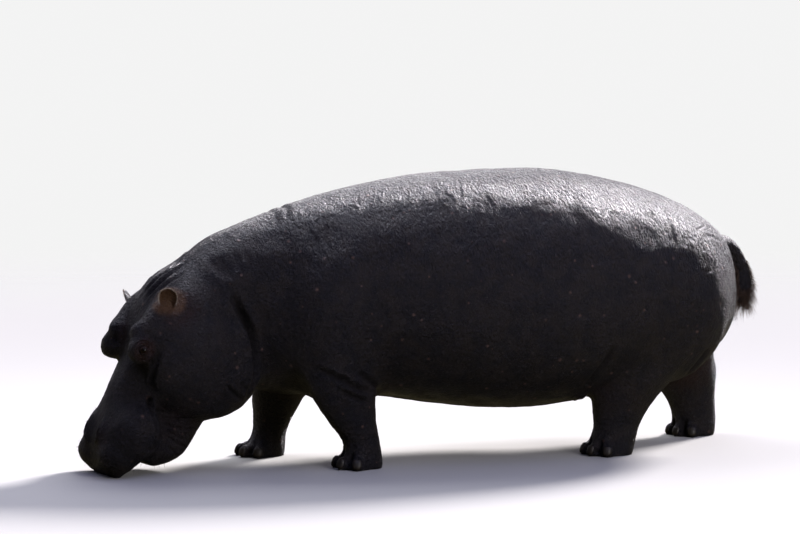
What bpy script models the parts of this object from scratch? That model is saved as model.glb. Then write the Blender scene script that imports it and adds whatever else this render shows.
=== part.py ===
"""A bull hippopotamus grazing, life size: flesh forms lofted and blended, then parted into nodes.

The animal faces -X, its left side is -Y and +Z is up. All lengths are in metres.
The flesh is one blended body, parted by thin cuts. Eyes, ears, tail and nails are set into it.
"""
import math

import bmesh
import bpy
import numpy as np
from mathutils import Matrix, Vector

NAME = "hippopotamus"
CUTTERS = "cutters"
HIDE = (0.060, 0.050, 0.054)
HIDE_ROUGHNESS = 0.5
EAR_SKIN = (0.120, 0.060, 0.050)
EYE_BROWN = (0.035, 0.018, 0.010)
HORN = (0.075, 0.060, 0.052)
SHARP_ANGLE = math.radians(50.0)

# Driving dimensions.
GAP = 0.0006            # how far a cutter is grown, which leaves at least 0.3 mm at a cut
VOXEL = 0.014           # grain of the blended body
EVEN_VOXEL = 0.120      # facets of the neck and trunk
FINE_TRIANGLES = 4700   # facets of a whole body from which head, legs and feet are cut
RING = 40               # points round a loft
LEG_SQUARENESS = 2.2
BLOCK_HALF_WIDTH = 0.9  # of the blocks that part the body
BLOCK_BOTTOM = -0.2

HEAD_ROOT = Vector((-1.08, -0.02, 0.80))
HEAD_PITCH = math.radians(60.0)
HEAD_YAW = math.radians(9.0)

EYE_PLACE = Vector((0.333, 0.206, 0.153))      # along the head, out to the side, up from its axis
EYE_RADIUS = 0.023

EAR_LENGTH = 0.140
# Each ear's root in the head, how far its tip leans forwards and outwards for each metre up,
# and how far its hollow looks forwards for each metre outwards.
EARS = {
    1: (Vector((0.146, 0.178, 0.116)), 0.00, 0.30, 0.40),
    -1: (Vector((0.168, -0.188, 0.122)), 0.20, 0.70, 2.20),
}
# Along the ear: share of its length, half width, half depth.
EAR = (
    (0.00, 0.024, 0.024),
    (0.25, 0.030, 0.027),
    (0.55, 0.042, 0.025),
    (0.82, 0.038, 0.018),
    (1.00, 0.016, 0.008))
EAR_CUP = (0.033, 0.022, 0.040)     # radii of the hollow: across, deep, along
EAR_CUP_PLACE = (0.022, 0.66)       # how far before the ear's middle it lies, share of the length
EAR_RINGS = 8
EAR_RING = 12

ANKLE_HEIGHT = 0.115
TOE_ANGLES = (-62.0, -21.0, 21.0, 62.0)
TOE_REACH = 0.082
TOE_RADII = (0.050, 0.034, 0.052)
TOE_HEIGHT = 0.012
NAIL_RADII = (0.015, 0.022, 0.026)
NAIL_HEIGHT = 0.031
NAIL_SLOPE = math.radians(-18.0)
TAIL_RINGS = 9
TAIL_RING = 10

# Each leg: its side (-1 left, +1 right) and rows of
# height, middle along X, distance from the midline, half length, half width.
FORE_LEFT = (-1, (
    (-0.03, -0.300, 0.285, 0.104, 0.094),
    (0.05, -0.296, 0.285, 0.098, 0.090),
    (0.11, -0.296, 0.285, 0.088, 0.084),
    (0.20, -0.334, 0.285, 0.112, 0.092),
    (0.30, -0.372, 0.282, 0.144, 0.108),
    (0.40, -0.415, 0.270, 0.165, 0.125),
    (0.55, -0.430, 0.250, 0.185, 0.140),
    (0.80, -0.430, 0.200, 0.190, 0.150)))
FORE_RIGHT = (1, (
    (-0.03, -0.615, 0.285, 0.104, 0.094),
    (0.05, -0.600, 0.285, 0.094, 0.090),
    (0.11, -0.584, 0.285, 0.084, 0.084),
    (0.20, -0.560, 0.285, 0.104, 0.092),
    (0.29, -0.540, 0.282, 0.134, 0.108),
    (0.40, -0.510, 0.270, 0.160, 0.125),
    (0.55, -0.470, 0.250, 0.180, 0.140),
    (0.80, -0.430, 0.200, 0.190, 0.150)))
HIND_LEFT = (-1, (
    (-0.03, 1.000, 0.265, 0.112, 0.098),
    (0.06, 1.020, 0.265, 0.118, 0.094),
    (0.14, 1.042, 0.265, 0.118, 0.092),
    (0.22, 1.060, 0.270, 0.142, 0.102),
    (0.31, 1.095, 0.275, 0.182, 0.122),
    (0.42, 1.160, 0.280, 0.238, 0.145),
    (0.60, 1.270, 0.270, 0.300, 0.170),
    (0.85, 1.380, 0.230, 0.300, 0.180)))
HIND_RIGHT = (1, (
    (-0.03, 1.740, 0.265, 0.112, 0.098),
    (0.06, 1.752, 0.265, 0.118, 0.094),
    (0.13, 1.746, 0.265, 0.122, 0.092),
    (0.22, 1.722, 0.270, 0.148, 0.102),
    (0.31, 1.690, 0.275, 0.186, 0.122),
    (0.42, 1.655, 0.280, 0.222, 0.145),
    (0.60, 1.580, 0.270, 0.262, 0.170),
    (0.85, 1.480, 0.230, 0.270, 0.180)))
LEGS = {"fore_left": FORE_LEFT, "fore_right": FORE_RIGHT,
        "hind_left": HIND_LEFT, "hind_right": HIND_RIGHT}

# Neck and trunk: place along X, top, bottom, half width, height of the widest line, squareness.
TRUNK = (
    (-1.14, 0.960, 0.480, 0.205, 0.720, 2.0),
    (-1.00, 1.075, 0.420, 0.240, 0.800, 2.0),
    (-0.86, 1.145, 0.390, 0.245, 0.850, 2.0),
    (-0.70, 1.208, 0.350, 0.272, 0.860, 2.0),
    (-0.50, 1.272, 0.330, 0.350, 0.820, 2.1),
    (-0.25, 1.335, 0.325, 0.430, 0.780, 2.1),
    (0.05, 1.390, 0.275, 0.490, 0.740, 2.15),
    (0.40, 1.412, 0.232, 0.535, 0.700, 2.2),
    (0.72, 1.420, 0.228, 0.548, 0.690, 2.2),
    (1.00, 1.385, 0.280, 0.530, 0.720, 2.15),
    (1.26, 1.325, 0.345, 0.490, 0.760, 2.1),
    (1.48, 1.248, 0.390, 0.430, 0.780, 2.1),
    (1.64, 1.152, 0.450, 0.338, 0.780, 2.1),
    (1.75, 1.045, 0.540, 0.205, 0.780, 2.1),
    (1.79, 0.930, 0.640, 0.100, 0.780, 2.0))

# Skull and upper jaw, in the head's frame: place along it, top, bottom, half width,
# height of the widest line, squareness.
SKULL = (
    (-0.22, 0.060, -0.300, 0.200, -0.100, 2.0),
    (-0.08, 0.160, -0.330, 0.235, -0.090, 2.0),
    (0.05, 0.210, -0.360, 0.256, -0.080, 2.2),
    (0.18, 0.192, -0.360, 0.250, -0.080, 2.4),
    (0.33, 0.152, -0.280, 0.200, -0.050, 2.3),
    (0.44, 0.146, -0.200, 0.160, -0.040, 2.0),
    (0.54, 0.138, -0.150, 0.150, -0.030, 2.1),
    (0.63, 0.126, -0.130, 0.178, -0.020, 2.3),
    (0.71, 0.112, -0.120, 0.210, -0.010, 2.5),
    (0.78, 0.092, -0.110, 0.218, 0.000, 2.8),
    (0.84, 0.056, -0.095, 0.196, -0.010, 3.0),
    (0.90, 0.000, -0.075, 0.145, -0.030, 2.8))
# Lower jaw, in the same columns.
JAW = (
    (0.10, -0.100, -0.330, 0.150, -0.200, 2.4),
    (0.30, -0.100, -0.345, 0.170, -0.220, 2.6),
    (0.46, -0.090, -0.330, 0.165, -0.200, 2.8),
    (0.60, -0.085, -0.325, 0.165, -0.190, 2.8),
    (0.70, -0.090, -0.290, 0.160, -0.180, 2.6),
    (0.77, -0.100, -0.220, 0.120, -0.160, 2.4))
# Where the body is parted, as outlines of (along, up): head and neck in the world, jaw in the head.
HEAD_BLOCK = ((-2.4, -0.3), (-0.815, -0.3), (-0.690, 0.25), (-0.675, 0.46), (-0.770, 0.72),
              (-1.090, 1.04), (-1.40, 1.50), (-2.4, 1.50))
NECK_BLOCK = ((-1.60, 0.2), (-0.665, 0.2), (-0.640, 0.50), (-0.500, 1.50), (-1.60, 1.50))
JAW_BLOCK = ((0.500, 0.005), (0.462, -0.270), (0.470, -0.500), (1.000, -0.500), (1.000, -0.118),
             (0.700, -0.112), (0.615, -0.082))
FLOOR_BLOCK = ((-2.4, 0.0), (-2.4, -0.4), (2.4, -0.4), (2.4, 0.0))
# Each leg: from and to along X, inner side, height of the cut there and at the outer side.
LEG_BLOCKS = {
    "fore_left": ((-0.640, -0.190), 0.10, 0.300, 0.650),
    "fore_right": ((-0.760, -0.340), 0.10, 0.300, 0.650),
    "hind_left": ((0.860, 1.480), 0.10, 0.300, 0.730),
    "hind_right": ((1.400, 2.000), 0.10, 0.320, 0.720),
}

# Round forms of the head, on both sides: middle and radii along, out and up.
HEAD_BULGES = (
    ((0.220, 0.165, -0.160), (0.285, 0.128, 0.300)),    # jowl
    ((0.360, 0.160, -0.100), (0.140, 0.068, 0.150)),    # front of the cheek
    ((0.338, 0.166, 0.150), (0.068, 0.062, 0.066)),     # orbit
    ((0.195, 0.150, 0.142), (0.180, 0.066, 0.066)),     # ridge from orbit to ear
    ((0.200, 0.168, 0.040), (0.160, 0.078, 0.130)),     # temple
    ((0.690, 0.150, -0.020), (0.145, 0.090, 0.115)),    # side of the upper lip
    ((0.810, 0.120, 0.010), (0.080, 0.098, 0.080)),     # corner of the muzzle
    ((0.730, 0.072, 0.080), (0.074, 0.040, 0.048)),     # nostril
)

# Shoulders and haunches that stand out from the trunk: middle and radii.
MUSCLES = (
    ((-0.38, -0.22, 0.72), (0.30, 0.205, 0.42)),
    ((-0.38, 0.22, 0.72), (0.30, 0.205, 0.42)),
    ((1.32, -0.24, 0.76), (0.36, 0.245, 0.42)),
    ((1.43, 0.24, 0.74), (0.38, 0.235, 0.44)),
)

# Tail: place along X, height, half depth, half width.
TAIL = (
    (1.720, 1.030, 0.060, 0.060),
    (1.800, 1.000, 0.052, 0.046),
    (1.858, 0.930, 0.046, 0.036),
    (1.892, 0.840, 0.046, 0.030),
    (1.898, 0.760, 0.042, 0.024),
    (1.885, 0.700, 0.022, 0.014))


def smooth_rows(rows, steps):
    """Rows of numbers at even steps of a smooth curve through a few of them."""
    rows = np.array(rows, float)
    spans = np.linalg.norm(np.diff(rows, axis=0), axis=1)
    knots = np.concatenate(([0.0], np.cumsum(spans)))
    slopes = np.gradient(rows, knots, axis=0)
    places = np.linspace(0.0, knots[-1], steps)
    found = np.clip(np.searchsorted(knots, places, side="right") - 1, 0, len(spans) - 1)
    span = spans[found][:, None]
    t = (places - knots[found])[:, None] / span
    return ((2 * t**3 - 3 * t**2 + 1) * rows[found] + (t**3 - 2 * t**2 + t) * span * slopes[found]
            + (3 * t**2 - 2 * t**3) * rows[found + 1] + (t**3 - t**2) * span * slopes[found + 1])


def oval(half_width, up, down, squareness=2.0):
    """Across and height of a rounded ring whose widest line is at height 0."""
    turn = np.arange(RING) * 2 * math.pi / RING
    cosine = np.cos(turn)
    sine = np.sin(turn)
    across = half_width * np.sign(cosine) * np.abs(cosine) ** (2 / squareness)
    height = np.where(sine > 0, up, down) * np.sign(sine) * np.abs(sine) ** (2 / squareness)
    return across, height


def add_loft(shape, rings):
    """A closed tube through rings of points, each end gathered to its middle."""
    loops = [[shape.verts.new(point) for point in ring] for ring in rings]
    for near, far in zip(loops, loops[1:]):
        for i in range(len(near)):
            j = (i + 1) % len(near)
            shape.faces.new((near[i], near[j], far[j], far[i]))
    for loop, ring in ((loops[0], rings[0]), (loops[-1], rings[-1])):
        middle = shape.verts.new(np.mean(np.array([tuple(p) for p in ring]), axis=0))
        for i in range(len(loop)):
            shape.faces.new((loop[i], loop[(i + 1) % len(loop)], middle))


def add_ball(shape, middle, radii, turn=Matrix.Identity(4), segments=24, rows=14):
    """A round form with its own radius along each of its axes."""
    place = Matrix.Translation(middle) @ turn @ Matrix.Diagonal((*radii, 1.0))
    bmesh.ops.create_uvsphere(shape, u_segments=segments, v_segments=rows, radius=1.0, matrix=place)


def prism(name, outline, frame, collection):
    """A flat outline of (along, up) points, drawn out to both sides of the frame's middle."""
    shape = bmesh.new()
    loop = [shape.verts.new(frame @ Vector((a, -BLOCK_HALF_WIDTH, u))) for a, u in outline]
    face = shape.faces.new(loop)
    drawn = bmesh.ops.extrude_face_region(shape, geom=[face])
    far = [item for item in drawn["geom"] if isinstance(item, bmesh.types.BMVert)]
    bmesh.ops.translate(shape, verts=far, vec=frame.to_3x3() @ Vector((0, 2 * BLOCK_HALF_WIDTH, 0)))
    return cutter(name, mesh_from(shape, name), collection)


def wedge(name, side, x_range, inner, top_inner, top_outer, collection):
    """A block to one side of the midline whose top rises outwards."""
    shape = bmesh.new()
    bmesh.ops.create_cube(shape, size=2.0)
    for vert in shape.verts:
        is_outer = vert.co.y * side > 0
        vert.co.x = x_range[1] if vert.co.x > 0 else x_range[0]
        vert.co.y = side * (BLOCK_HALF_WIDTH if is_outer else inner)
        if vert.co.z > 0:
            vert.co.z = top_outer if is_outer else top_inner
        else:
            vert.co.z = BLOCK_BOTTOM
    return cutter(name, mesh_from(shape, name), collection)


def head_frame():
    """Turns the head's along, out to the left and up into the world."""
    level = Vector((-math.cos(HEAD_YAW), -math.sin(HEAD_YAW), 0.0))
    left = Vector((math.sin(HEAD_YAW), -math.cos(HEAD_YAW), 0.0))
    along = level * math.cos(HEAD_PITCH) - Vector((0, 0, math.sin(HEAD_PITCH)))
    up = level * math.sin(HEAD_PITCH) + Vector((0, 0, math.cos(HEAD_PITCH)))
    turn = Matrix((along, left, up)).transposed().to_4x4()
    return Matrix.Translation(HEAD_ROOT) @ turn


def trunk_form(shape):
    rings = []
    for x, top, bottom, half_width, widest, squareness in smooth_rows(TRUNK, 60):
        across, height = oval(half_width, top - widest, widest - bottom, squareness)
        rings.append([Vector((x, a, widest + h)) for a, h in zip(across, height)])
    add_loft(shape, rings)


def leg_form(shape, side, rows):
    rings = []
    for z, x, out, half_length, half_width in smooth_rows(rows, 30):
        along, across = oval(half_length, half_width, half_width, LEG_SQUARENESS)
        rings.append([Vector((x + a, side * out + c, z)) for a, c in zip(along, across)])
    add_loft(shape, rings)


def toe_place(leg, angle):
    """Where a toe stands on the floor, and which way it points."""
    side, rows = leg
    heading = Vector((-math.cos(math.radians(angle)), math.sin(math.radians(angle)), 0.0))
    return Vector((rows[0][1], side * rows[0][2], 0.0)) + heading * TOE_REACH, heading


def toes_form(shape, leg):
    for angle in TOE_ANGLES:
        place, heading = toe_place(leg, angle)
        turn = heading.to_track_quat("X", "Z").to_matrix().to_4x4()
        add_ball(shape, place + Vector((0, 0, TOE_HEIGHT)), TOE_RADII, turn)


def head_form(shape, frame):
    for rows in (SKULL, JAW):
        rings = []
        for s, top, bottom, half_width, widest, squareness in smooth_rows(rows, 40):
            across, height = oval(half_width, top - widest, widest - bottom, squareness)
            rings.append([frame @ Vector((s, a, widest + h)) for a, h in zip(across, height)])
        add_loft(shape, rings)
    for middle, radii in HEAD_BULGES:
        for side in (-1, 1):
            place = frame @ Vector((middle[0], side * middle[1], middle[2]))
            add_ball(shape, place, radii, frame.to_3x3().to_4x4())


def new_piece(name, mesh, collection):
    piece = bpy.data.objects.new(name, mesh)
    collection.objects.link(piece)
    return piece


def mesh_from(shape, name):
    bmesh.ops.recalc_face_normals(shape, faces=shape.faces[:])
    mesh = bpy.data.meshes.new(name)
    shape.to_mesh(mesh)
    shape.free()
    return mesh


def bake(piece):
    """Applies a piece's modifiers."""
    graph = bpy.context.evaluated_depsgraph_get()
    mesh = bpy.data.meshes.new_from_object(piece.evaluated_get(graph))
    piece.modifiers.clear()
    piece.data = mesh


def points_of(mesh):
    points = np.empty(len(mesh.vertices) * 3, np.float32)
    mesh.vertices.foreach_get("co", points)
    return points.reshape(-1, 3).astype(float)


def ramp(values, low, high):
    """0 below low, 1 above high, smooth between them."""
    t = np.clip((values - low) / (high - low), 0.0, 1.0)
    return t * t * (3 - 2 * t)


def weigh(piece, name, weights):
    """Stores a weight for each point in a vertex group, in steps of a twentieth."""
    group = piece.vertex_groups.new(name=name)
    steps = np.round(weights * 20).astype(int)
    for step in range(1, 21):
        group.add(np.nonzero(steps == step)[0].tolist(), step / 20, "REPLACE")


def soften(piece, passes, group=""):
    smooth = piece.modifiers.new("soften", "SMOOTH")
    smooth.factor = 0.5
    smooth.iterations = passes
    smooth.vertex_group = group


def blended_body(collection):
    """All the flesh forms run together into one skin."""
    shape = bmesh.new()
    trunk_form(shape)
    for leg in LEGS.values():
        leg_form(shape, *leg)
        toes_form(shape, leg)
    for middle, radii in MUSCLES:
        add_ball(shape, Vector(middle), radii)
    head_form(shape, head_frame())
    body = new_piece("body", mesh_from(shape, "body"), collection)
    remesh = body.modifiers.new("one skin", "REMESH")
    remesh.mode = "VOXEL"
    remesh.voxel_size = VOXEL
    bake(body)

    # All of it is smoothed a little, the muzzle and feet least and the trunk most.
    points = points_of(body.data)
    above_feet = ramp(points[:, 2], 0.10, 0.22)
    muzzle = 1.0 - ramp(points[:, 0], -1.50, -1.20)
    weigh(body, "above feet", above_feet * (1.0 - 0.6 * muzzle))
    behind_head = ramp(points[:, 0], -0.85, -0.60)
    weigh(body, "trunk", ramp(points[:, 2], 0.25, 0.50) * behind_head)
    soften(body, 3)
    soften(body, 10, "above feet")
    soften(body, 28, "trunk")
    bake(body)
    return body


def copy_of(piece, name):
    twin = piece.copy()
    twin.data = piece.data.copy()
    twin.name = name
    piece.users_collection[0].objects.link(twin)
    return twin


def fine_copy(body):
    """Small facets where the form turns sharply, for the head, legs and feet."""
    fine = copy_of(body, "fine body")
    points = points_of(fine.data)
    head = 1.0 - ramp(points[:, 0], -0.95, -0.60)
    feet = 1.0 - ramp(points[:, 2], 0.10, 0.40)
    weigh(fine, "plain", 1.0 - 0.3 * np.maximum(head, 1.5 * feet))
    fewer = fine.modifiers.new("fewer facets", "DECIMATE")
    fine.data.calc_loop_triangles()
    fewer.ratio = FINE_TRIANGLES / len(fine.data.loop_triangles)
    fewer.vertex_group = "plain"
    bake(fine)
    return fine


def even_copy(body):
    """Facets of one size, for the smooth neck and trunk."""
    even = copy_of(body, "even body")
    remesh = even.modifiers.new("even facets", "REMESH")
    remesh.mode = "VOXEL"
    remesh.voxel_size = EVEN_VOXEL
    wrap = even.modifiers.new("onto the body", "SHRINKWRAP")
    wrap.target = body
    bake(even)
    return even


def cutter(name, mesh, collection):
    piece = new_piece(name, mesh, collection)
    piece.hide_render = True
    piece.display_type = "WIRE"
    return piece


def grown(piece, by=GAP):
    """A cutter a little larger than a piece, which leaves a thin gap round it."""
    shape = bmesh.new()
    shape.from_mesh(piece.data)
    shape.normal_update()
    for vert in shape.verts:
        vert.co += vert.normal * by
    return cutter(piece.name + " grown", mesh_from(shape, piece.name), bpy.data.collections[CUTTERS])


def cut(piece, other, operation):
    step = piece.modifiers.new(other.name, "BOOLEAN")
    step.operation = operation
    step.object = other
    step.solver = "EXACT"


def node(name, source, inside, outside):
    """A part of the body: inside every cutter of one list and outside those of the other."""
    piece = new_piece(name, source.data.copy(), bpy.data.collections[NAME])
    for other in inside:
        cut(piece, other, "INTERSECT")
    for other in outside:
        cut(piece, other, "DIFFERENCE")
    bake(piece)
    finish(piece, HIDE, HIDE_ROUGHNESS)
    return piece


def finish(piece, colour, roughness):
    """A material of the piece's own, and smooth shading but for sharp edges."""
    material = bpy.data.materials.new(piece.name)
    material.use_nodes = True
    shader = material.node_tree.nodes["Principled BSDF"]
    shader.inputs["Base Color"].default_value = (*colour, 1.0)
    shader.inputs["Roughness"].default_value = roughness
    shader.inputs["Metallic"].default_value = 0.0
    piece.data.materials.clear()
    piece.data.materials.append(material)
    piece.data.shade_smooth()
    piece.data.set_sharp_from_angle(angle=SHARP_ANGLE)


def flesh_nodes(fine, even, cutters):
    """Head, jaw, neck, trunk, legs and feet, parted by thin cuts."""
    frame = head_frame()
    world = Matrix.Identity(4)
    head_block = prism("head block", HEAD_BLOCK, world, cutters)
    neck_block = prism("neck block", NECK_BLOCK, world, cutters)
    jaw_block = prism("jaw block", JAW_BLOCK, frame, cutters)
    floor = prism("floor", FLOOR_BLOCK, world, cutters)
    head_gap = grown(head_block)
    head = node("head", fine, [head_block], [grown(jaw_block), floor])
    node("lower_jaw", fine, [head_block, jaw_block], [floor])

    feet = {}
    leg_gaps = []
    for name, leg in LEGS.items():
        x_range, inner, top_inner, top_outer = LEG_BLOCKS[name]
        side = leg[0]
        block = wedge(name + " block", side, x_range, inner, top_inner, top_outer, cutters)
        ankle = wedge(name + " ankle", side, x_range, inner, ANKLE_HEIGHT, ANKLE_HEIGHT, cutters)
        node("leg_" + name, fine, [block], [grown(ankle)])
        feet[name] = node("foot_" + name, fine, [block, ankle], [floor])
        leg_gaps.append(grown(block))
    node("neck", even, [neck_block], [head_gap, *leg_gaps])
    trunk = node("trunk", even, [], [head_gap, grown(neck_block), *leg_gaps])
    return head, trunk, feet


def ear(side, head_gap, cutters):
    """A short cupped ear, set in the top of the head."""
    frame = head_frame()
    place, forwards, outwards, facing = EARS[side]
    root = frame @ place
    out = Vector((0.0, -side, 0.0))
    along = Vector((-forwards, 0.0, 1.0)) + out * outwards
    along.normalize()
    opening = out + Vector((-facing, 0.0, 0.0))
    opening = (opening - along * opening.dot(along)).normalized()
    across = along.cross(opening)
    turn = Matrix((across, opening, along)).transposed()

    rings = []
    for share, half_width, half_depth in smooth_rows(EAR, EAR_RINGS):
        middle = root + along * (share * EAR_LENGTH)
        rings.append([middle + across * (half_width * math.cos(a)) + opening * (half_depth * math.sin(a))
                      for a in np.arange(EAR_RING) * 2 * math.pi / EAR_RING])
    shape = bmesh.new()
    add_loft(shape, rings)
    piece = new_piece(side_name("ear", side), mesh_from(shape, "ear"), bpy.data.collections[NAME])

    hollow = bmesh.new()
    forward, share = EAR_CUP_PLACE
    add_ball(hollow, root + along * (share * EAR_LENGTH) + opening * forward, EAR_CUP,
             turn.to_4x4(), EAR_RING, 8)
    cup = cutter(piece.name + " cup", mesh_from(hollow, "cup"), cutters)
    cut(piece, cup, "DIFFERENCE")
    cut(piece, head_gap, "DIFFERENCE")
    bake(piece)
    finish(piece, EAR_SKIN, 0.6)
    return piece


def side_name(word, side):
    """In the head's frame the left side is positive."""
    return word + ("_left" if side > 0 else "_right")


def eye(side):
    shape = bmesh.new()
    place = head_frame() @ Vector((EYE_PLACE.x, side * EYE_PLACE.y, EYE_PLACE.z))
    add_ball(shape, place, (EYE_RADIUS,) * 3, segments=12, rows=8)
    piece = new_piece(side_name("eye", side), mesh_from(shape, "eye"), bpy.data.collections[NAME])
    finish(piece, EYE_BROWN, 0.1)
    return piece


def nail(leg_name, number, angle):
    """A rounded hoof nail, half sunk in the front of its toe."""
    place, heading = toe_place(LEGS[leg_name], angle)
    slope = Matrix.Rotation(NAIL_SLOPE, 4, "Y")
    turn = heading.to_track_quat("X", "Z").to_matrix().to_4x4() @ slope
    middle = place + heading * (TOE_RADII[0] - NAIL_RADII[0] * 0.6)
    shape = bmesh.new()
    add_ball(shape, Vector((middle.x, middle.y, NAIL_HEIGHT)), NAIL_RADII, turn, segments=6, rows=5)
    piece = new_piece(f"nail_{leg_name}_{number}", mesh_from(shape, "nail"), bpy.data.collections[NAME])
    finish(piece, HORN, 0.45)
    return piece


def tail(trunk_gap):
    """A short tail, flattened from side to side, which hangs down over the rump."""
    rows = smooth_rows(TAIL, TAIL_RINGS)
    middles = [Vector((x, 0.0, z)) for x, z, _, _ in rows]
    across = Vector((0.0, 1.0, 0.0))
    rings = []
    for i, (x, z, half_depth, half_width) in enumerate(rows):
        heading = (middles[min(i + 1, len(rows) - 1)] - middles[max(i - 1, 0)]).normalized()
        depth = heading.cross(across)
        rings.append([middles[i] + depth * (half_depth * math.cos(a)) + across * (half_width * math.sin(a))
                      for a in np.arange(TAIL_RING) * 2 * math.pi / TAIL_RING])
    shape = bmesh.new()
    add_loft(shape, rings)
    piece = new_piece("tail", mesh_from(shape, "tail"), bpy.data.collections[NAME])
    cut(piece, trunk_gap, "DIFFERENCE")
    bake(piece)
    finish(piece, HIDE, HIDE_ROUGHNESS)
    return piece


def set_into(piece, *others):
    """Makes room in a piece for others, with a thin gap round each."""
    for other in others:
        cut(piece, grown(other), "DIFFERENCE")
    bake(piece)


def stand_on_origin(pieces):
    """Moves the pieces so that the origin is below the middle of them all, on the floor."""
    points = np.vstack([points_of(piece.data) for piece in pieces])
    middle = (points.min(axis=0) + points.max(axis=0)) / 2
    for piece in pieces:
        piece.location = Vector((-middle[0], -middle[1], 0.0))


def main():
    for item in list(bpy.data.objects):
        bpy.data.objects.remove(item)
    scene = bpy.context.scene.collection
    model = bpy.data.collections.new(NAME)
    cutters = bpy.data.collections.new(CUTTERS)
    scene.children.link(model)
    scene.children.link(cutters)
    body = blended_body(cutters)
    fine = fine_copy(body)
    even = even_copy(body)
    head, trunk, feet = flesh_nodes(fine, even, cutters)
    for piece in (body, fine, even):
        bpy.data.objects.remove(piece)

    head_gap = grown(head)
    for side in (-1, 1):
        ear(side, head_gap, cutters)
    set_into(head, eye(-1), eye(1))
    for leg_name, foot in feet.items():
        set_into(foot, *[nail(leg_name, i + 1, angle) for i, angle in enumerate(TOE_ANGLES)])
    tail(grown(trunk))
    stand_on_origin(list(model.objects))


main()
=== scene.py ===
"""A grazing hippopotamus: one wrinkled hide over the model's solids, with its eyes, nails and bristles.

The animal faces -X, its left side is -Y and +Z is up. All lengths are in metres.
"""
import itertools
import math

import bmesh
import bpy
import numpy as np
from mathutils import Matrix, Vector
from mathutils.bvhtree import BVHTree


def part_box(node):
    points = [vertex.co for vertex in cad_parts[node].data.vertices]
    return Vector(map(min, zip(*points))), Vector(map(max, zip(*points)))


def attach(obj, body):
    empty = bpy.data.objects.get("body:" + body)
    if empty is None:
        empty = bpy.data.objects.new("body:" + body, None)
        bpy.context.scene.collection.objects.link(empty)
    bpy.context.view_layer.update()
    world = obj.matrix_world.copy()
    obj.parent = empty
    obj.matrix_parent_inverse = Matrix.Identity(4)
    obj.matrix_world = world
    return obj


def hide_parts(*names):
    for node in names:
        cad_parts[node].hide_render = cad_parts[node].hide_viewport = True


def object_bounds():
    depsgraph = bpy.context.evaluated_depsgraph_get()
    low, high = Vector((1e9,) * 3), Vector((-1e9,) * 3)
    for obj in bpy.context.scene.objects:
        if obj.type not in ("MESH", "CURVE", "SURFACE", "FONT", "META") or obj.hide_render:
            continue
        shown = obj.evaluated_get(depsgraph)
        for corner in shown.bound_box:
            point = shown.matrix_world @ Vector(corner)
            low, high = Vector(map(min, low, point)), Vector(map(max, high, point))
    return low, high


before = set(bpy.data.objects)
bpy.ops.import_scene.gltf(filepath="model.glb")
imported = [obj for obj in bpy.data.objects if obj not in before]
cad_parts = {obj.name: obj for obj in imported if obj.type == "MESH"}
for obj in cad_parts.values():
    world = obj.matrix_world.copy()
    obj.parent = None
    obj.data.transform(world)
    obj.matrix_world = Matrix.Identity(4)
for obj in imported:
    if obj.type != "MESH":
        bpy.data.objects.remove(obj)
SOLID_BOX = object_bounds()

LEGS = ("fore_left", "fore_right", "hind_left", "hind_right")
TOES = (1, 2, 3, 4)
FLESH = ["head", "lower_jaw", "neck", "trunk", "tail"]
FLESH += ["leg_" + leg for leg in LEGS]
FLESH += ["foot_" + leg for leg in LEGS]
EARS = ["ear_left", "ear_right"]
EYES = ["eye_left", "eye_right"]
NAILS = [f"nail_{leg}_{toe}" for leg in LEGS for toe in TOES]

# Grain of the hide's mesh, and how often the noise repeats.
VOXEL = 0.008
LATTICE = 32
# Passes of smoothing for the whole hide, for all but the feet, for the trunk and for the legs' corners.
SMOOTHING = (5, 14, 130, 60)
# How far finer grain reaches: along the snout from here on, and about the mouth, the eyes and the nails.
HEAD_START = -0.30
MOUTH_REACH = 0.035
EYE_REACHES = (0.070, 0.034)
NAIL_REACHES = (0.050, 0.043)

# How far the snout points down from level.
HEAD_PITCH = math.radians(60.0)

# Lids: half the length and height of their opening, and their thickness.
LID_HALF_LENGTH = 0.0165
LID_HALF_HEIGHT = 0.0085
LID_THICKNESS = 0.0035
# How far the lids are set in, and how far the hide drops behind the ball inside their opening.
LID_INSET = 0.0010
BEHIND_BALL = 0.006
# Where an eye looks and how its lids' opening runs, each along the head, outwards and up.
GAZE = (0.15, 0.90, 0.40)
LID_LINE = (0.84, 0.0, 0.54)
# Folds round the eye: radius, width, depth, shift along the lids' line and up, where round it each is
# deepest (in turns from the lids' front end) and how much of it is left on the other side.
EYE_RINGS = (
    (0.0235, 0.0028, 0.0030, 0.000, 0.002, 0.28, 0.35),
    (0.0330, 0.0034, 0.0032, 0.002, 0.003, 0.35, 0.30),
    (0.0450, 0.0045, 0.0034, 0.006, 0.004, 0.45, 0.25),
    (0.0400, 0.0032, 0.0030, 0.004, -0.006, 0.75, 0.10))

# Ears: root in the head's frame, how far the tip leans forwards and outwards for each metre up,
# and how far the hollow looks forwards for each metre outwards.
EAR_SETTINGS = {
    1: ((-0.187, 0.178, -0.037), 0.00, 0.30, 0.40),
    -1: ((-0.165, -0.188, -0.031), 0.20, 0.70, 2.20),
}
EAR_LENGTH = 0.142
EAR_WALL = 0.007
# Along the ear: share of its length, half width, half depth.
EAR = (
    (0.00, 0.019, 0.020),
    (0.22, 0.023, 0.025),
    (0.50, 0.037, 0.029),
    (0.75, 0.042, 0.025),
    (0.92, 0.030, 0.016),
    (1.00, 0.012, 0.006))
EAR_RINGS = 26
EAR_RING = 36

# Nails: half their depth, width and height, and how far they lean back for each metre up.
NAIL_SIZE = np.array((0.0170, 0.0225, 0.0255))
NAIL_LEAN = 0.30
# The hide about a nail, in shares of the nail's size: its bed, its cuticle and how far it swells.
NAIL_BED = 0.86
CUTICLE = 1.10
CUTICLE_REACH = 1.45


def middle_of(node):
    """The middle of a node's box."""
    low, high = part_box(node)
    return (low + high) / 2


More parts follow.
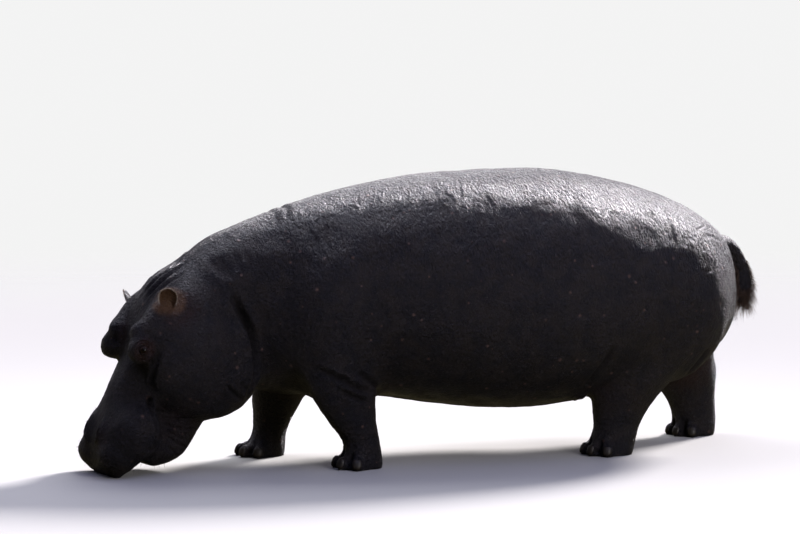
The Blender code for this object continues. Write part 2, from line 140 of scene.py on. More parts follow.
def head_frame():
    """The head's frame, from between the eyes: along the snout, out to its left, up off the forehead."""
    left = (middle_of("eye_left") - middle_of("eye_right")).normalized()
    level = left.cross(Vector((0, 0, 1))).normalized()
    along = level * math.cos(HEAD_PITCH) - Vector((0, 0, math.sin(HEAD_PITCH)))
    up = level * math.sin(HEAD_PITCH) + Vector((0, 0, math.cos(HEAD_PITCH)))
    turn = Matrix((along, left, up)).transposed().to_4x4()
    return Matrix.Translation((middle_of("eye_left") + middle_of("eye_right")) / 2) @ turn


HEAD = head_frame()
HEAD_TURN = HEAD.to_3x3()


# ---------------------------------------------------------------- meshes as arrays

def points_of(mesh):
    """Where each point of a mesh is, a row for each."""
    points = np.empty(len(mesh.vertices) * 3, np.float32)
    mesh.vertices.foreach_get("co", points)
    return points.reshape(-1, 3).astype(float)


def normals_of(mesh):
    """Which way each point of a mesh faces, a row for each."""
    normals = np.empty(len(mesh.vertices) * 3, np.float32)
    mesh.vertex_normals.foreach_get("vector", normals)
    return normals.reshape(-1, 3).astype(float)


def place_points(mesh, points):
    """Moves a mesh's points to new places."""
    mesh.vertices.foreach_set("co", points.astype(np.float32).ravel())
    mesh.update()


def push(mesh, amounts):
    """Moves each point out along its normal."""
    place_points(mesh, points_of(mesh) + normals_of(mesh) * amounts[:, None])


def store(mesh, name, values):
    """Keeps a number for each point, for a material to read."""
    layer = mesh.attributes.get(name) or mesh.attributes.new(name, "FLOAT", "POINT")
    layer.data.foreach_set("value", np.clip(values, 0.0, 1.0).astype(np.float32))


def ramp(values, low, high):
    """0 at low, 1 at high, smooth between them."""
    t = np.clip((values - low) / (high - low), 0.0, 1.0)
    return t * t * (3 - 2 * t)


def distances(points, place):
    """How far each point lies from a place."""
    return np.linalg.norm(points - np.array(place), axis=1)


def in_head(points):
    """Places in the head's frame of points in the world."""
    back = np.array(HEAD.inverted())
    return points @ back[:3, :3].T + back[:3, 3]


def noise(points, size, seed):
    """Smooth random values from -1 to 1, which change over about the given size."""
    table = np.random.default_rng(seed).uniform(-1.0, 1.0, (LATTICE,) * 3)
    place = points / size
    cell = np.floor(place).astype(int)
    t = place - cell
    t = t * t * (3 - 2 * t)
    total = np.zeros(len(points))
    for corner in itertools.product((0, 1), repeat=3):
        weight = np.prod(np.where(corner, t, 1 - t), axis=1)
        x, y, z = ((cell + corner) % LATTICE).T
        total += weight * table[x, y, z]
    return total


def blob(points, middle, radii):
    """1 in the middle of a round region, falling smoothly to 0 at its radii."""
    reach = np.sqrt((((points - np.array(middle)) / np.array(radii)) ** 2).sum(axis=1))
    return 1.0 - ramp(reach, 0.35, 1.0)


def strongest(points, places):
    """The strongest of several round regions at each point, given as middle, radii and strength."""
    return np.max([strength * blob(points, middle, radii) for middle, radii, strength in places], axis=0)


def one_sided(points):
    """The points with both sides of the middle plane laid on one."""
    return np.column_stack((points[:, 0], np.abs(points[:, 1]), points[:, 2]))


def mesh_from(shape, name):
    """A mesh made from a bmesh, which is then freed."""
    mesh = bpy.data.meshes.new(name)
    shape.to_mesh(mesh)
    shape.free()
    return mesh


def new_object(name, mesh):
    """A piece of the scene made from a mesh."""
    piece = bpy.data.objects.new(name, mesh)
    bpy.context.scene.collection.objects.link(piece)
    return piece


def finish(piece, material):
    """Shades a piece smooth, in one material."""
    piece.data.shade_smooth()
    piece.data.materials.append(material)
    return piece


def bake(piece):
    """Applies a piece's modifiers."""
    graph = bpy.context.evaluated_depsgraph_get()
    mesh = bpy.data.meshes.new_from_object(piece.evaluated_get(graph))
    piece.modifiers.clear()
    piece.data = mesh


def soften(piece, passes, weights=None):
    """Evens out a mesh, where the weights say."""
    smooth = piece.modifiers.new("soften", "SMOOTH")
    smooth.factor = 0.5
    smooth.iterations = passes
    if weights is not None:
        group = piece.vertex_groups.new(name="soften")
        steps = np.round(weights * 20).astype(int)
        for step in range(1, 21):
            group.add(np.nonzero(steps == step)[0].tolist(), step / 20, "REPLACE")
        smooth.vertex_group = group.name
    bake(piece)
    piece.vertex_groups.clear()


def refine(piece, inside):
    """Halves the edges whose ends both lie in a region, given as a true or false for each point."""
    shape = bmesh.new()
    shape.from_mesh(piece.data)
    edges = [e for e in shape.edges if inside[e.verts[0].index] and inside[e.verts[1].index]]
    bmesh.ops.subdivide_edges(shape, edges=edges, cuts=1, use_grid_fill=True)
    bmesh.ops.triangulate(shape, faces=[f for f in shape.faces if len(f.verts) > 4])
    shape.to_mesh(piece.data)
    shape.free()


# ---------------------------------------------------------------- the hide's form

# Armpits and groins, where the legs meet the trunk, and how far round them the hide is smoothed.
LEG_CORNERS = ((-0.420, -0.200, 0.350), (-0.560, 0.200, 0.350), (0.900, -0.180, 0.330), (1.200, 0.180, 0.330))
CORNER_REACH = (0.22, 0.20, 0.13)


def rough_hide():
    """One closed skin round all the flesh, with the facets of the solids smoothed away."""
    shape = bmesh.new()
    for name in FLESH + EYES + NAILS:
        shape.from_mesh(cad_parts[name].data)
    bmesh.ops.remove_doubles(shape, verts=shape.verts, dist=0.00002)
    hide = new_object("hide", mesh_from(shape, "hide"))
    remesh = hide.modifiers.new("one skin", "REMESH")
    remesh.mode = "VOXEL"
    remesh.voxel_size = VOXEL
    bake(hide)

    points = points_of(hide.data)
    tail = ramp(points[:, 0], 1.56, 1.62) * ramp(points[:, 2], 0.60, 0.66) * (np.abs(points[:, 1]) < 0.08)
    trunk = ramp(points[:, 0], -1.10, -0.90) * ramp(points[:, 2], 0.30, 0.50) * (1.0 - tail)
    feet = 1.0 - ramp(points[:, 2], 0.10, 0.16)
    soften(hide, SMOOTHING[0])
    soften(hide, SMOOTHING[1], 1.0 - 0.7 * feet)
    soften(hide, SMOOTHING[2], trunk)
    corners = [(middle, CORNER_REACH, 1.0) for middle in LEG_CORNERS]
    soften(hide, SMOOTHING[3], strongest(points_of(hide.data), corners))
    return hide


def around_eyes(points, reach):
    """Whether each point lies within reach of an eye's middle."""
    near = np.zeros(len(points), bool)
    for eye in EYES:
        near |= ((points - np.array(middle_of(eye))) ** 2).sum(axis=1) < reach ** 2
    return near


def around_nails(points, reach):
    """Whether each point lies within reach of a nail's middle."""
    near = np.zeros(len(points), bool)
    low = np.nonzero(points[:, 2] < 0.12)[0]
    for nail in NAILS:
        near[low] |= ((points[low] - np.array(middle_of(nail))) ** 2).sum(axis=1) < reach ** 2
    return near


def refine_small_forms(hide):
    """Finer grain where the head and the toes have small forms."""
    place = in_head(points_of(hide.data))
    refine(hide, (place[:, 0] > HEAD_START) & (points_of(hide.data)[:, 0] < -1.02))
    place = in_head(points_of(hide.data))
    nostrils = (place[:, 0] > 0.30) & (place[:, 2] > -0.12)
    tree = tree_of(hide)
    points = points_of(hide.data)
    mouth = np.zeros(len(points), bool)
    for side in (1, -1):
        mouth[near_path(points, path_on(tree, from_head(MOUTH, side)), MOUTH_REACH)[0]] = True
    refine(hide, nostrils | mouth | around_eyes(points, EYE_REACHES[0]))
    for reach in NAIL_REACHES:
        refine(hide, around_nails(points_of(hide.data), reach))
    refine(hide, around_eyes(points_of(hide.data), EYE_REACHES[1]))
    on_head = in_head(points_of(hide.data))[:, 0] > HEAD_START
    soften(hide, 6, on_head * 1.0)


def smooth_rows(rows, steps):
    """Rows of numbers at even steps of a smooth curve through a few of them."""
    rows = np.array(rows, float)
    spans = np.linalg.norm(np.diff(rows, axis=0), axis=1)
    knots = np.concatenate(([0.0], np.cumsum(spans)))
    slopes = np.gradient(rows, knots, axis=0)
    places = np.linspace(0.0, knots[-1], steps)
    found = np.clip(np.searchsorted(knots, places, side="right") - 1, 0, len(spans) - 1)
    span = spans[found][:, None]
    t = (places - knots[found])[:, None] / span
    return ((2 * t**3 - 3 * t**2 + 1) * rows[found] + (t**3 - 2 * t**2 + t) * span * slopes[found]
            + (3 * t**2 - 2 * t**3) * rows[found + 1] + (t**3 - t**2) * span * slopes[found + 1])


def tree_of(hide):
    """The hide as a surface that can be searched for its nearest point."""
    return BVHTree.FromObject(hide, bpy.context.evaluated_depsgraph_get())


def path_on(tree, places, steps=70):
    """A smooth line of points through a few places, laid on the hide."""
    return np.array([tuple(tree.find_nearest(Vector(p))[0]) for p in smooth_rows(places, steps)])


def near_path(points, path, reach):
    """The points within reach of a line of points, their distances from it and shares of the way along it."""
    inside = (points > path.min(axis=0) - reach) & (points < path.max(axis=0) + reach)
    boxed = np.nonzero(inside.all(axis=1))[0]
    distance = np.zeros(len(boxed))
    share = np.zeros(len(boxed))
    for part in np.array_split(np.arange(len(boxed)), len(boxed) // 20000 + 1):
        apart = np.linalg.norm(points[boxed[part]][:, None, :] - path[None, :, :], axis=2)
        distance[part] = apart.min(axis=1)
        share[part] = apart.argmin(axis=1) / (len(path) - 1)
    close = distance < reach
    return boxed[close], distance[close], share[close]


def head_point(place, side=1):
    """The world place of a point in the head's frame, on its left side or mirrored to its right."""
    return HEAD @ Vector((place[0], side * place[1], place[2]))


def from_head(places, side=1):
    """World places of a list of points in the head's frame."""
    return [head_point(place, side) for place in places]


# The line between the lips, in the head's frame, on its left side.
MOUTH = ((0.162, 0.150, -0.153), (0.182, 0.153, -0.162), (0.210, 0.160, -0.181), (0.238, 0.192, -0.199),
         (0.266, 0.203, -0.225), (0.299, 0.207, -0.242), (0.333, 0.208, -0.255), (0.368, 0.196, -0.269),
         (0.412, 0.193, -0.262), (0.470, 0.150, -0.262), (0.505, 0.100, -0.258))
MOUTH_WIDTH = 0.011
MOUTH_DEPTH = 0.028


# The painted shade of a fold is at its darkest from this depth on, and that of small ripples from this one.
DARK_CREASE = 0.014
DARK_RIPPLE = 0.008
# How much of a crease is left at its very ends.
CREASE_ENDS = 0.12


class Folds:
    """Creases pressed into the hide, and a record of how deep each point lies in one, kept as the painted
    shade in the creases.
    """

    def __init__(self, hide):
        self.hide = hide
        self.tree = tree_of(hide)
        self.depth = np.zeros(len(hide.data.vertices))
        self.refresh()

    def refresh(self):
        """Reads the hide's points again."""
        self.points = points_of(self.hide.data)
        self.normals = normals_of(self.hide.data)

    def settle(self):
        """Gives the moved points back to the hide."""
        place_points(self.hide.data, self.points)
        self.refresh()

    def push(self, chosen, amounts):
        """Moves some points out along their normals."""
        self.points[chosen] += self.normals[chosen] * amounts[:, None]

    def crease(self, places, width, depth, lip=0.35, taper=0.25):
        """A groove along a line, with a raised lip on both sides, that fades at its ends."""
        path = path_on(self.tree, places)
        chosen, distance, share = near_path(self.points, path, 4.5 * width + depth)
        fade = np.maximum(ramp(share, 0.0, taper) * ramp(1.0 - share, 0.0, taper), CREASE_ENDS)
        valley = np.exp(-((distance / width) ** 2)) * fade
        rise = np.exp(-(((distance - 2.0 * width) / width) ** 2)) * fade
        self.push(chosen, depth * (lip * rise - valley))
        # Painted shade: the deeper the crease, the darker its valley is painted.
        self.depth[chosen] = np.maximum(self.depth[chosen], valley * np.clip(depth / DARK_CREASE, 0.0, 1.0))

    def swell(self, place, radius, height):
        """A soft round rise."""
        apart = distances(self.points, place)
        chosen = np.nonzero(apart < 2.6 * radius)[0]
        self.push(chosen, height * np.exp(-((apart[chosen] / radius) ** 2)))

    def ripple(self, middle, radii, heading, spacing, depth, seed, sharp=2.0):
        """Many small folds side by side, which wander and fade."""
        reach = blob(self.points, middle, radii)
        chosen = np.nonzero(reach)[0]
        reach = reach[chosen]
        points = self.points[chosen]
        phase = points @ np.array(Vector(heading).normalized()) / spacing
        phase += 0.55 * noise(points, spacing * 3.0, seed) + 0.25 * noise(points, spacing * 1.2, seed + 1)
        valley = np.abs(np.cos(math.pi * phase)) ** sharp
        patchy = ramp(noise(points, spacing * 2.5, seed + 2), -0.7, 0.5)
        self.push(chosen, depth * reach * patchy * (0.35 - valley))
        # Painted shade in the ripples' valleys.
        dark = valley * reach * patchy * min(1.0, depth / DARK_RIPPLE)
        self.depth[chosen] = np.maximum(self.depth[chosen], dark)


# Folds of the head, in its frame, on its left side: places, width, depth.
HEAD_FOLDS = (
    # From under the eye down the front of the cheek to the corner of the mouth.
    (((-0.050, 0.220, -0.060), (0.005, 0.214, -0.072), (0.070, 0.186, -0.104), (0.130, 0.152, -0.146)),
     0.014, 0.013),
    (((0.000, 0.214, -0.045), (0.045, 0.205, -0.066), (0.085, 0.190, -0.085)), 0.006, 0.005),
    # Bags under the eye.
    (((0.055, 0.165, 0.010), (0.052, 0.175, -0.035), (0.045, 0.200, -0.070)), 0.007, 0.006),
    (((0.078, 0.155, -0.010), (0.074, 0.165, -0.050), (0.068, 0.185, -0.085)), 0.006, 0.004),
    # Behind the jowl, down from the ear.
    (((-0.440, 0.245, -0.220), (-0.382, 0.249, -0.309), (-0.345, 0.247, -0.368), (-0.307, 0.249, -0.417),
      (-0.267, 0.252, -0.459), (-0.225, 0.252, -0.491), (-0.161, 0.249, -0.530), (-0.092, 0.239, -0.551),
      (-0.020, 0.205, -0.567)), 0.016, 0.032),
    # Short folds low on the jowl.
    (((-0.045, 0.281, -0.409), (-0.029, 0.270, -0.453), (-0.013, 0.249, -0.508)), 0.009, 0.011),
    (((-0.038, 0.274, -0.452), (-0.026, 0.255, -0.505), (-0.024, 0.224, -0.557)), 0.009, 0.010),
    (((-0.085, 0.275, -0.470), (-0.075, 0.262, -0.520), (-0.060, 0.240, -0.560)), 0.007, 0.005),
    # Between orbit and forehead.
    (((-0.090, 0.110, 0.030), (-0.040, 0.105, 0.030), (0.010, 0.110, 0.010)), 0.010, 0.005),
    # Across the lower jaw, from the mouth's line back.
    (((0.205, 0.157, -0.190), (0.202, 0.150, -0.239), (0.190, 0.155, -0.284)), 0.006, 0.006),
    (((0.219, 0.150, -0.237), (0.206, 0.163, -0.310), (0.150, 0.200, -0.390)), 0.007, 0.007),
    (((0.244, 0.160, -0.240), (0.236, 0.164, -0.333), (0.193, 0.145, -0.434)), 0.006, 0.006),
    (((0.265, 0.162, -0.264), (0.268, 0.164, -0.351), (0.249, 0.120, -0.455)), 0.006, 0.005),
    (((0.286, 0.158, -0.296), (0.294, 0.163, -0.372), (0.285, 0.120, -0.450)), 0.006, 0.005),
    (((0.325, 0.150, -0.320), (0.335, 0.140, -0.390), (0.330, 0.090, -0.450)), 0.006, 0.004),
)
# A raised roll along the back edge of the jowl.
JOWL_EDGE = (
    (-0.345, 0.262, -0.290), (-0.305, 0.262, -0.345), (-0.265, 0.268, -0.390), (-0.220, 0.270, -0.430),
    (-0.160, 0.268, -0.475), (-0.100, 0.262, -0.500), (-0.050, 0.245, -0.520))
JOWL_WIDTH = 0.030
JOWL_RISE = 0.013
# Soft rises of the head, on its left side: place, radius, height.
HEAD_SWELLS = (
    # The brow.
    ((-0.080, 0.130, 0.040), 0.045, 0.024),
    ((-0.045, 0.125, 0.045), 0.036, 0.014),
    # The lips' corner, the cheek's lower front and the lower lip's rounded rim.
    ((0.174, 0.156, -0.146), 0.009, 0.007),
    ((0.060, 0.240, -0.200), 0.070, 0.008),
    ((0.300, 0.160, -0.268), 0.018, 0.006),
)
# Long folds over the nape, from the neck down to the crown, each at its own distance from the middle.
NAPE_FOLDS = (
    (((-0.580, -0.020, -0.085), (-0.498, -0.008, -0.044), (-0.408, 0.040, 0.003), (-0.349, 0.038, 0.034),
      (-0.291, 0.025, 0.052), (-0.235, 0.000, 0.054)), 0.011, 0.014),
    (((-0.500, 0.062, -0.055), (-0.423, 0.072, -0.012), (-0.345, 0.081, 0.026), (-0.275, 0.072, 0.047),
      (-0.220, 0.048, 0.049)), 0.009, 0.009),
    (((-0.453, 0.114, -0.052), (-0.381, 0.122, -0.016), (-0.325, 0.115, 0.017), (-0.275, 0.110, 0.030)),
     0.008, 0.006),
    (((-0.540, -0.085, -0.080), (-0.460, -0.080, -0.045), (-0.370, -0.070, 0.000), (-0.290, -0.060, 0.040)),
     0.010, 0.010),
    (((-0.440, -0.130, -0.060), (-0.360, -0.130, -0.020), (-0.300, -0.115, 0.015)), 0.008, 0.006),
)
# Folds of the body, in the world: places, width, depth.
BODY_FOLDS = (
    # Over the left elbow.
    (((-0.739, -0.336, 0.487), (-0.679, -0.381, 0.465), (-0.601, -0.392, 0.428), (-0.530, -0.386, 0.389),
      (-0.447, -0.348, 0.364)), 0.013, 0.016),
    (((-0.620, -0.390, 0.390), (-0.607, -0.390, 0.381), (-0.544, -0.389, 0.348), (-0.467, -0.367, 0.319)),
     0.011, 0.013),
    (((-0.540, -0.382, 0.470), (-0.514, -0.376, 0.454), (-0.455, -0.352, 0.413), (-0.400, -0.290, 0.370)),
     0.012, 0.013),
    # Over the right elbow.
    (((-0.820, 0.330, 0.480), (-0.740, 0.390, 0.430), (-0.640, 0.395, 0.390), (-0.540, 0.330, 0.370)),
     0.015, 0.012),
    (((-0.780, 0.370, 0.380), (-0.700, 0.390, 0.335), (-0.610, 0.360, 0.310)), 0.012, 0.009),
    # In front of each haunch.
    (((0.740, -0.515, 0.580), (0.705, -0.480, 0.480), (0.665, -0.430, 0.405), (0.640, -0.340, 0.330)),
     0.018, 0.012),
    (((1.060, 0.500, 0.600), (1.040, 0.470, 0.500), (1.020, 0.410, 0.410), (1.020, 0.320, 0.340)),
     0.018, 0.012),
    # Behind each haunch.
    (((1.330, -0.420, 0.520), (1.270, -0.380, 0.440), (1.200, -0.300, 0.390)), 0.018, 0.010),
    (((1.640, 0.300, 0.560), (1.680, 0.290, 0.470), (1.690, 0.260, 0.400)), 0.016, 0.008),
    # Down the left side of the back.
    (((0.040, -0.205, 1.352), (0.030, -0.252, 1.330), (0.027, -0.293, 1.297), (0.006, -0.339, 1.250)),
     0.007, 0.003),
    (((-0.096, -0.232, 1.325), (-0.090, -0.324, 1.251), (-0.061, -0.368, 1.204)), 0.007, 0.003),
    (((0.590, -0.220, 1.360), (0.586, -0.266, 1.341), (0.565, -0.311, 1.308), (0.539, -0.357, 1.266)),
     0.007, 0.003),
    # Round the root of the tail.
    (((1.449, -0.257, 1.036), (1.369, -0.300, 1.074), (1.272, -0.378, 1.058)), 0.009, 0.004),
    (((1.371, -0.232, 1.126), (1.290, -0.320, 1.110), (1.209, -0.371, 1.098)), 0.009, 0.003),
    (((1.348, -0.383, 0.983), (1.300, -0.432, 0.912), (1.231, -0.436, 0.900)), 0.009, 0.004),
    (((1.449, 0.257, 1.036), (1.369, 0.300, 1.074), (1.272, 0.378, 1.058)), 0.009, 0.004),
    # Across the withers.
    (((-0.800, -0.180, 1.150), (-0.770, -0.060, 1.220), (-0.770, 0.060, 1.220), (-0.800, 0.180, 1.150)),
     0.013, 0.007),
    (((-0.850, -0.200, 1.110), (-0.830, -0.060, 1.190), (-0.830, 0.060, 1.190), (-0.850, 0.200, 1.110)),
     0.011, 0.005),
)


def fold_head(folds_and_shade):
    """All folds and rises of the head."""
    for side in (1, -1):
        for places, width, depth in HEAD_FOLDS:
            folds_and_shade.crease(from_head(places, side), width, depth)
        folds_and_shade.crease(from_head(MOUTH, side), MOUTH_WIDTH, MOUTH_DEPTH, lip=0.22, taper=0.05)
        folds_and_shade.crease(from_head(JOWL_EDGE, side), JOWL_WIDTH, -JOWL_RISE, lip=0.0)
        for place, radius, height in HEAD_SWELLS:
            folds_and_shade.swell(head_point(place, side), radius, height)
    for places, width, depth in NAPE_FOLDS:
        folds_and_shade.crease(from_head(places), width, depth, lip=0.55)
    along, left, up = HEAD_TURN.transposed()
    # Nape and chin, each cheek, orbit and upper lip, and the forehead.
    ripples = [
        (1, (-0.380, 0.0, 0.000), (0.20, 0.20, 0.15), left + along * 0.25, 0.030, 0.0022, 10),
        (1, (0.200, 0.0, -0.330), (0.22, 0.20, 0.24), along * 0.6 - up, 0.016, 0.0022, 20)]
    for side in (1, -1):
        ripples += [
            (side, (0.050, 0.190, -0.080), (0.07, 0.06, 0.09), along + up * 0.5, 0.013, 0.0018, 30),
            (side, (-0.090, 0.210, -0.050), (0.09, 0.08, 0.09), along, 0.016, 0.0014, 40),
            (side, (0.300, 0.180, -0.100), (0.16, 0.08, 0.12), along - up * 0.3, 0.020, 0.0012, 50)]
    ripples.append((1, (-0.060, 0.0, 0.010), (0.12, 0.10, 0.08), along, 0.018, 0.0020, 60))
    for side, place, radii, heading, spacing, depth, seed in ripples:
        folds_and_shade.ripple(head_point(place, side), radii, heading, spacing, depth, seed)


# The barrel's radius and the height of its axis.
BARREL_RADIUS = 0.55
BARREL_HEIGHT = 0.80


def crease_back(folds_and_shade):
    """Short creases round the barrel, over the back and the upper ribs."""
    rng = np.random.default_rng(7)
    for x in np.arange(-0.78, 1.50, 0.12):
        for side in (-1, 1):
            start = rng.uniform(math.radians(8.0), math.radians(52.0))
            turns = start + math.radians(rng.uniform(9.0, 22.0)) * np.linspace(0.0, 1.0, 4)
            across = x + rng.uniform(-0.04, 0.04) + rng.uniform(-0.018, 0.018, 4)
            places = [(along, side * BARREL_RADIUS * math.sin(turn),
                       BARREL_HEIGHT + BARREL_RADIUS * math.cos(turn)) for along, turn in zip(across, turns)]
            folds_and_shade.crease(places, rng.uniform(0.0060, 0.0080), rng.uniform(0.0016, 0.0032), taper=0.4)


# Small ripples of the body: middle, radii, heading across them, spacing, depth, seed.
BODY_RIPPLES = (
    # Neck, withers, armpits, elbows, groins, haunches and the root of the tail.
    ((-1.020, 0.0, 0.980), (0.24, 0.36, 0.22), (1.0, 0.0, 0.55), 0.042, 0.0030, 70),
    ((-0.780, 0.0, 1.150), (0.18, 0.34, 0.16), (1.0, 0.0, 0.25), 0.034, 0.0022, 80),
    ((-0.880, 0.0, 0.600), (0.17, 0.46, 0.34), (1.0, 0.0, 0.30), 0.036, 0.0040, 90),
    ((-0.420, 0.0, 0.400), (0.30, 0.48, 0.16), (0.35, 0.0, 1.0), 0.030, 0.0032, 100),
    ((0.700, 0.0, 0.430), (0.26, 0.55, 0.20), (1.0, 0.0, -0.35), 0.036, 0.0034, 110),
    ((1.350, 0.0, 0.470), (0.40, 0.46, 0.20), (0.30, 0.0, 1.0), 0.034, 0.0032, 120),
    ((1.600, 0.0, 0.900), (0.16, 0.20, 0.26), (0.40, 0.0, 1.0), 0.030, 0.0026, 130),
)


# The elbows' rises: place, radius, height.
ELBOWS = (((-0.430, -0.335, 0.365), 0.050, 0.014), ((-0.560, 0.345, 0.365), 0.050, 0.012))


def fold_body(folds_and_shade):
    """All folds and rises of the trunk, the legs and the ankles."""
    crease_back(folds_and_shade)
    for places, width, depth in BODY_FOLDS:
        folds_and_shade.crease(places, width, depth)
    for elbow in ELBOWS:
        folds_and_shade.swell(*elbow)
    for ripple in BODY_RIPPLES:
        folds_and_shade.ripple(*ripple)
    for leg in LEGS:
        middle = middle_of("foot_" + leg)
        folds_and_shade.ripple((middle.x, middle.y, 0.150), (0.22, 0.17, 0.11), (0.15, 0.0, 1.0), 0.022, 0.0030, 140)


def eye_frame(eye, side):
    """An eyeball's middle and radius, where it looks, and the line of its lids' opening."""
    low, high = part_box(eye)
    gaze = HEAD_TURN @ Vector((GAZE[0], side * GAZE[1], GAZE[2])).normalized()
    line = HEAD_TURN @ Vector(LID_LINE)
    line = (line - gaze * line.dot(gaze)).normalized()
    return middle_of(eye), (high - low).x / 2, gaze, line


def shape_eyes(hide):
    """Lids that lie on each eyeball round an almond opening, with rings of folds about them."""
    for side, eye in zip((1, -1), EYES):
        middle, radius, gaze, line = eye_frame(eye, side)
        across = gaze.cross(line) * -side
        points = points_of(hide.data)
        apart = points - np.array(middle)
        depth = apart @ np.array(gaze)
        x = apart @ np.array(line)
        y = apart @ np.array(across)
        reach = np.hypot(x, y)
        near = (reach < 0.075) & (depth > -0.020)

        narrowing = (1.15 - 0.45 * (x / LID_HALF_LENGTH) ** 2).clip(0.3, 2.0)
        almond = np.hypot(x / LID_HALF_LENGTH, y / (LID_HALF_HEIGHT * narrowing))
        ball = np.sqrt(np.maximum(radius ** 2 - reach ** 2, 0.0))
        lid = ball + LID_THICKNESS * ramp(almond, 1.0, 1.35) - LID_INSET
        sunk = ball - BEHIND_BALL * ramp(1.0 - almond, 0.0, 0.35) - LID_INSET
        lid = np.where(almond < 1.0, sunk, lid)
        on_lid = 1.0 - ramp(reach, 0.018, 0.031)
        target = depth * (1.0 - on_lid) + np.where(reach < radius, lid, depth) * on_lid
        for ring, width, height, shift, rise, deepest, rest in EYE_RINGS:
            wobble = np.hypot(x - shift, (y - rise) * 1.12) + 0.0018 * noise(points, 0.018, 5)
            turn = np.arctan2(y - rise, x - shift) - 2 * math.pi * deepest
            strength = height * (rest + (1.0 - rest) * (0.5 + 0.5 * np.cos(turn)))
            target -= strength * np.exp(-(((wobble - ring) / width) ** 2))
            target += 0.7 * strength * np.exp(-(((wobble - ring - 1.7 * width) / width) ** 2))
        moved = points + (target - depth)[:, None] * np.array(gaze)
        place_points(hide.data, np.where(near[:, None], moved, points))


# Nostrils: place and heading along the head and outwards, half length and width, bend and depth.
NOSTRIL = (0.415, 0.077)
NOSTRIL_HEADING = (0.985, -0.17)
NOSTRIL_HALF = (0.027, 0.0062)
NOSTRIL_BEND = 5.0
NOSTRIL_DEPTH = 0.022
NOSTRIL_RIM = 0.0065


def shape_nostrils(hide):
    """A curved slit in the top of each nostril's mound, with a raised rim on its outer side."""
    tree = tree_of(hide)
    for side in (1, -1):
        top = head_point((*NOSTRIL, 0.20), side)
        place, normal, _, _ = tree.ray_cast(top, -(HEAD_TURN @ Vector((0, 0, 1))))
        line = HEAD_TURN @ Vector((NOSTRIL_HEADING[0], side * NOSTRIL_HEADING[1], 0.0))
        line = (line - normal * line.dot(normal)).normalized()
        outwards = normal.cross(line) * side
        points = points_of(hide.data)
        apart = points - np.array(place)
        x = apart @ np.array(line)
        y = apart @ np.array(outwards) + NOSTRIL_BEND * x ** 2
        close = np.abs(apart @ np.array(normal)) < 0.05
        slit = np.hypot(x / NOSTRIL_HALF[0], y / NOSTRIL_HALF[1])
        hole = (1.0 - ramp(slit, 0.25, 1.20)) * close
        rim = np.exp(-((slit - 2.0) / 0.7) ** 2) * close * (0.45 + 0.55 * ramp(y, -0.002, 0.006))
        push(hide.data, NOSTRIL_RIM * rim - NOSTRIL_DEPTH * hole)


def ear_heading(side):
    """Where the tip of an ear points."""
    _, forwards, outwards, _ = EAR_SETTINGS[side]
    return Vector((-forwards, -side * outwards, 1.0)).normalized()


def ear_opening(side):
    """Where the hollow of an ear looks."""
    along = ear_heading(side)
    opening = Vector((-EAR_SETTINGS[side][3], -side, 0.0))
    return (opening - along * opening.dot(along)).normalized()


def ear_rings(side):
    """Rings of a cupped leaf of skin: round behind, hollow in front, closed at its root and tip."""
    root = HEAD @ Vector(EAR_SETTINGS[side][0])
    along = ear_heading(side)
    opening = ear_opening(side)
    across = along.cross(opening)
    rings = []
    turns = np.arange(EAR_RING) * 2 * math.pi / EAR_RING
    for share, half_width, half_depth in smooth_rows(EAR, EAR_RINGS):
        hollow = float(ramp(np.array(share), 0.10, 0.42))
        middle = root + along * (share * EAR_LENGTH)
        ring = []
        for turn in turns:
            sine = math.sin(turn)
            front = sine * half_depth * (1.0 - hollow) - hollow * (half_depth - EAR_WALL) * abs(sine) ** 1.5
            depth = front if sine > 0 else sine * half_depth
            flare = 0.30 * hollow * half_depth
            ring.append(middle + across * (half_width * math.cos(turn)) + opening * (depth + flare))
        rings.append(ring)
    return rings, root, along


def add_loft(shape, rings):
    """A closed tube through rings of points, each end gathered to its middle."""
    loops = [[shape.verts.new(point) for point in ring] for ring in rings]
    for near, far in zip(loops, loops[1:]):
        for i in range(len(near)):
            j = (i + 1) % len(near)
            shape.faces.new((near[i], near[j], far[j], far[i]))
    for loop, ring in ((loops[0], rings[0]), (loops[-1], rings[-1])):
        middle = shape.verts.new(np.mean(np.array([tuple(p) for p in ring]), axis=0))
        for i in range(len(loop)):
            shape.faces.new((loop[i], loop[(i + 1) % len(loop)], middle))


def ear_rim(rings, start):
    """The edge of an ear, up one side and down the other, from one of its rings."""
    back = EAR_RING // 2
    return [ring[0] for ring in rings[start:]] + [ring[back] for ring in rings[:start - 1:-1]]


def join_ears(hide):
    """Grows both ears out of the hide, with no seam."""
    for side in (1, -1):
        rings, root, along = ear_rings(side)
        shape = bmesh.new()
        add_loft(shape, rings)
        bmesh.ops.recalc_face_normals(shape, faces=shape.faces[:])
        ear = new_object("ear", mesh_from(shape, "ear"))
        soften(ear, 2)
        union = hide.modifiers.new("ear", "BOOLEAN")
        union.operation = "UNION"
        union.solver = "MANIFOLD"
        union.object = ear
        bake(hide)
        bpy.data.objects.remove(ear)
        base = root + along * 0.030
        soften(hide, 8, 1.0 - ramp(distances(points_of(hide.data), base), 0.030, 0.050))


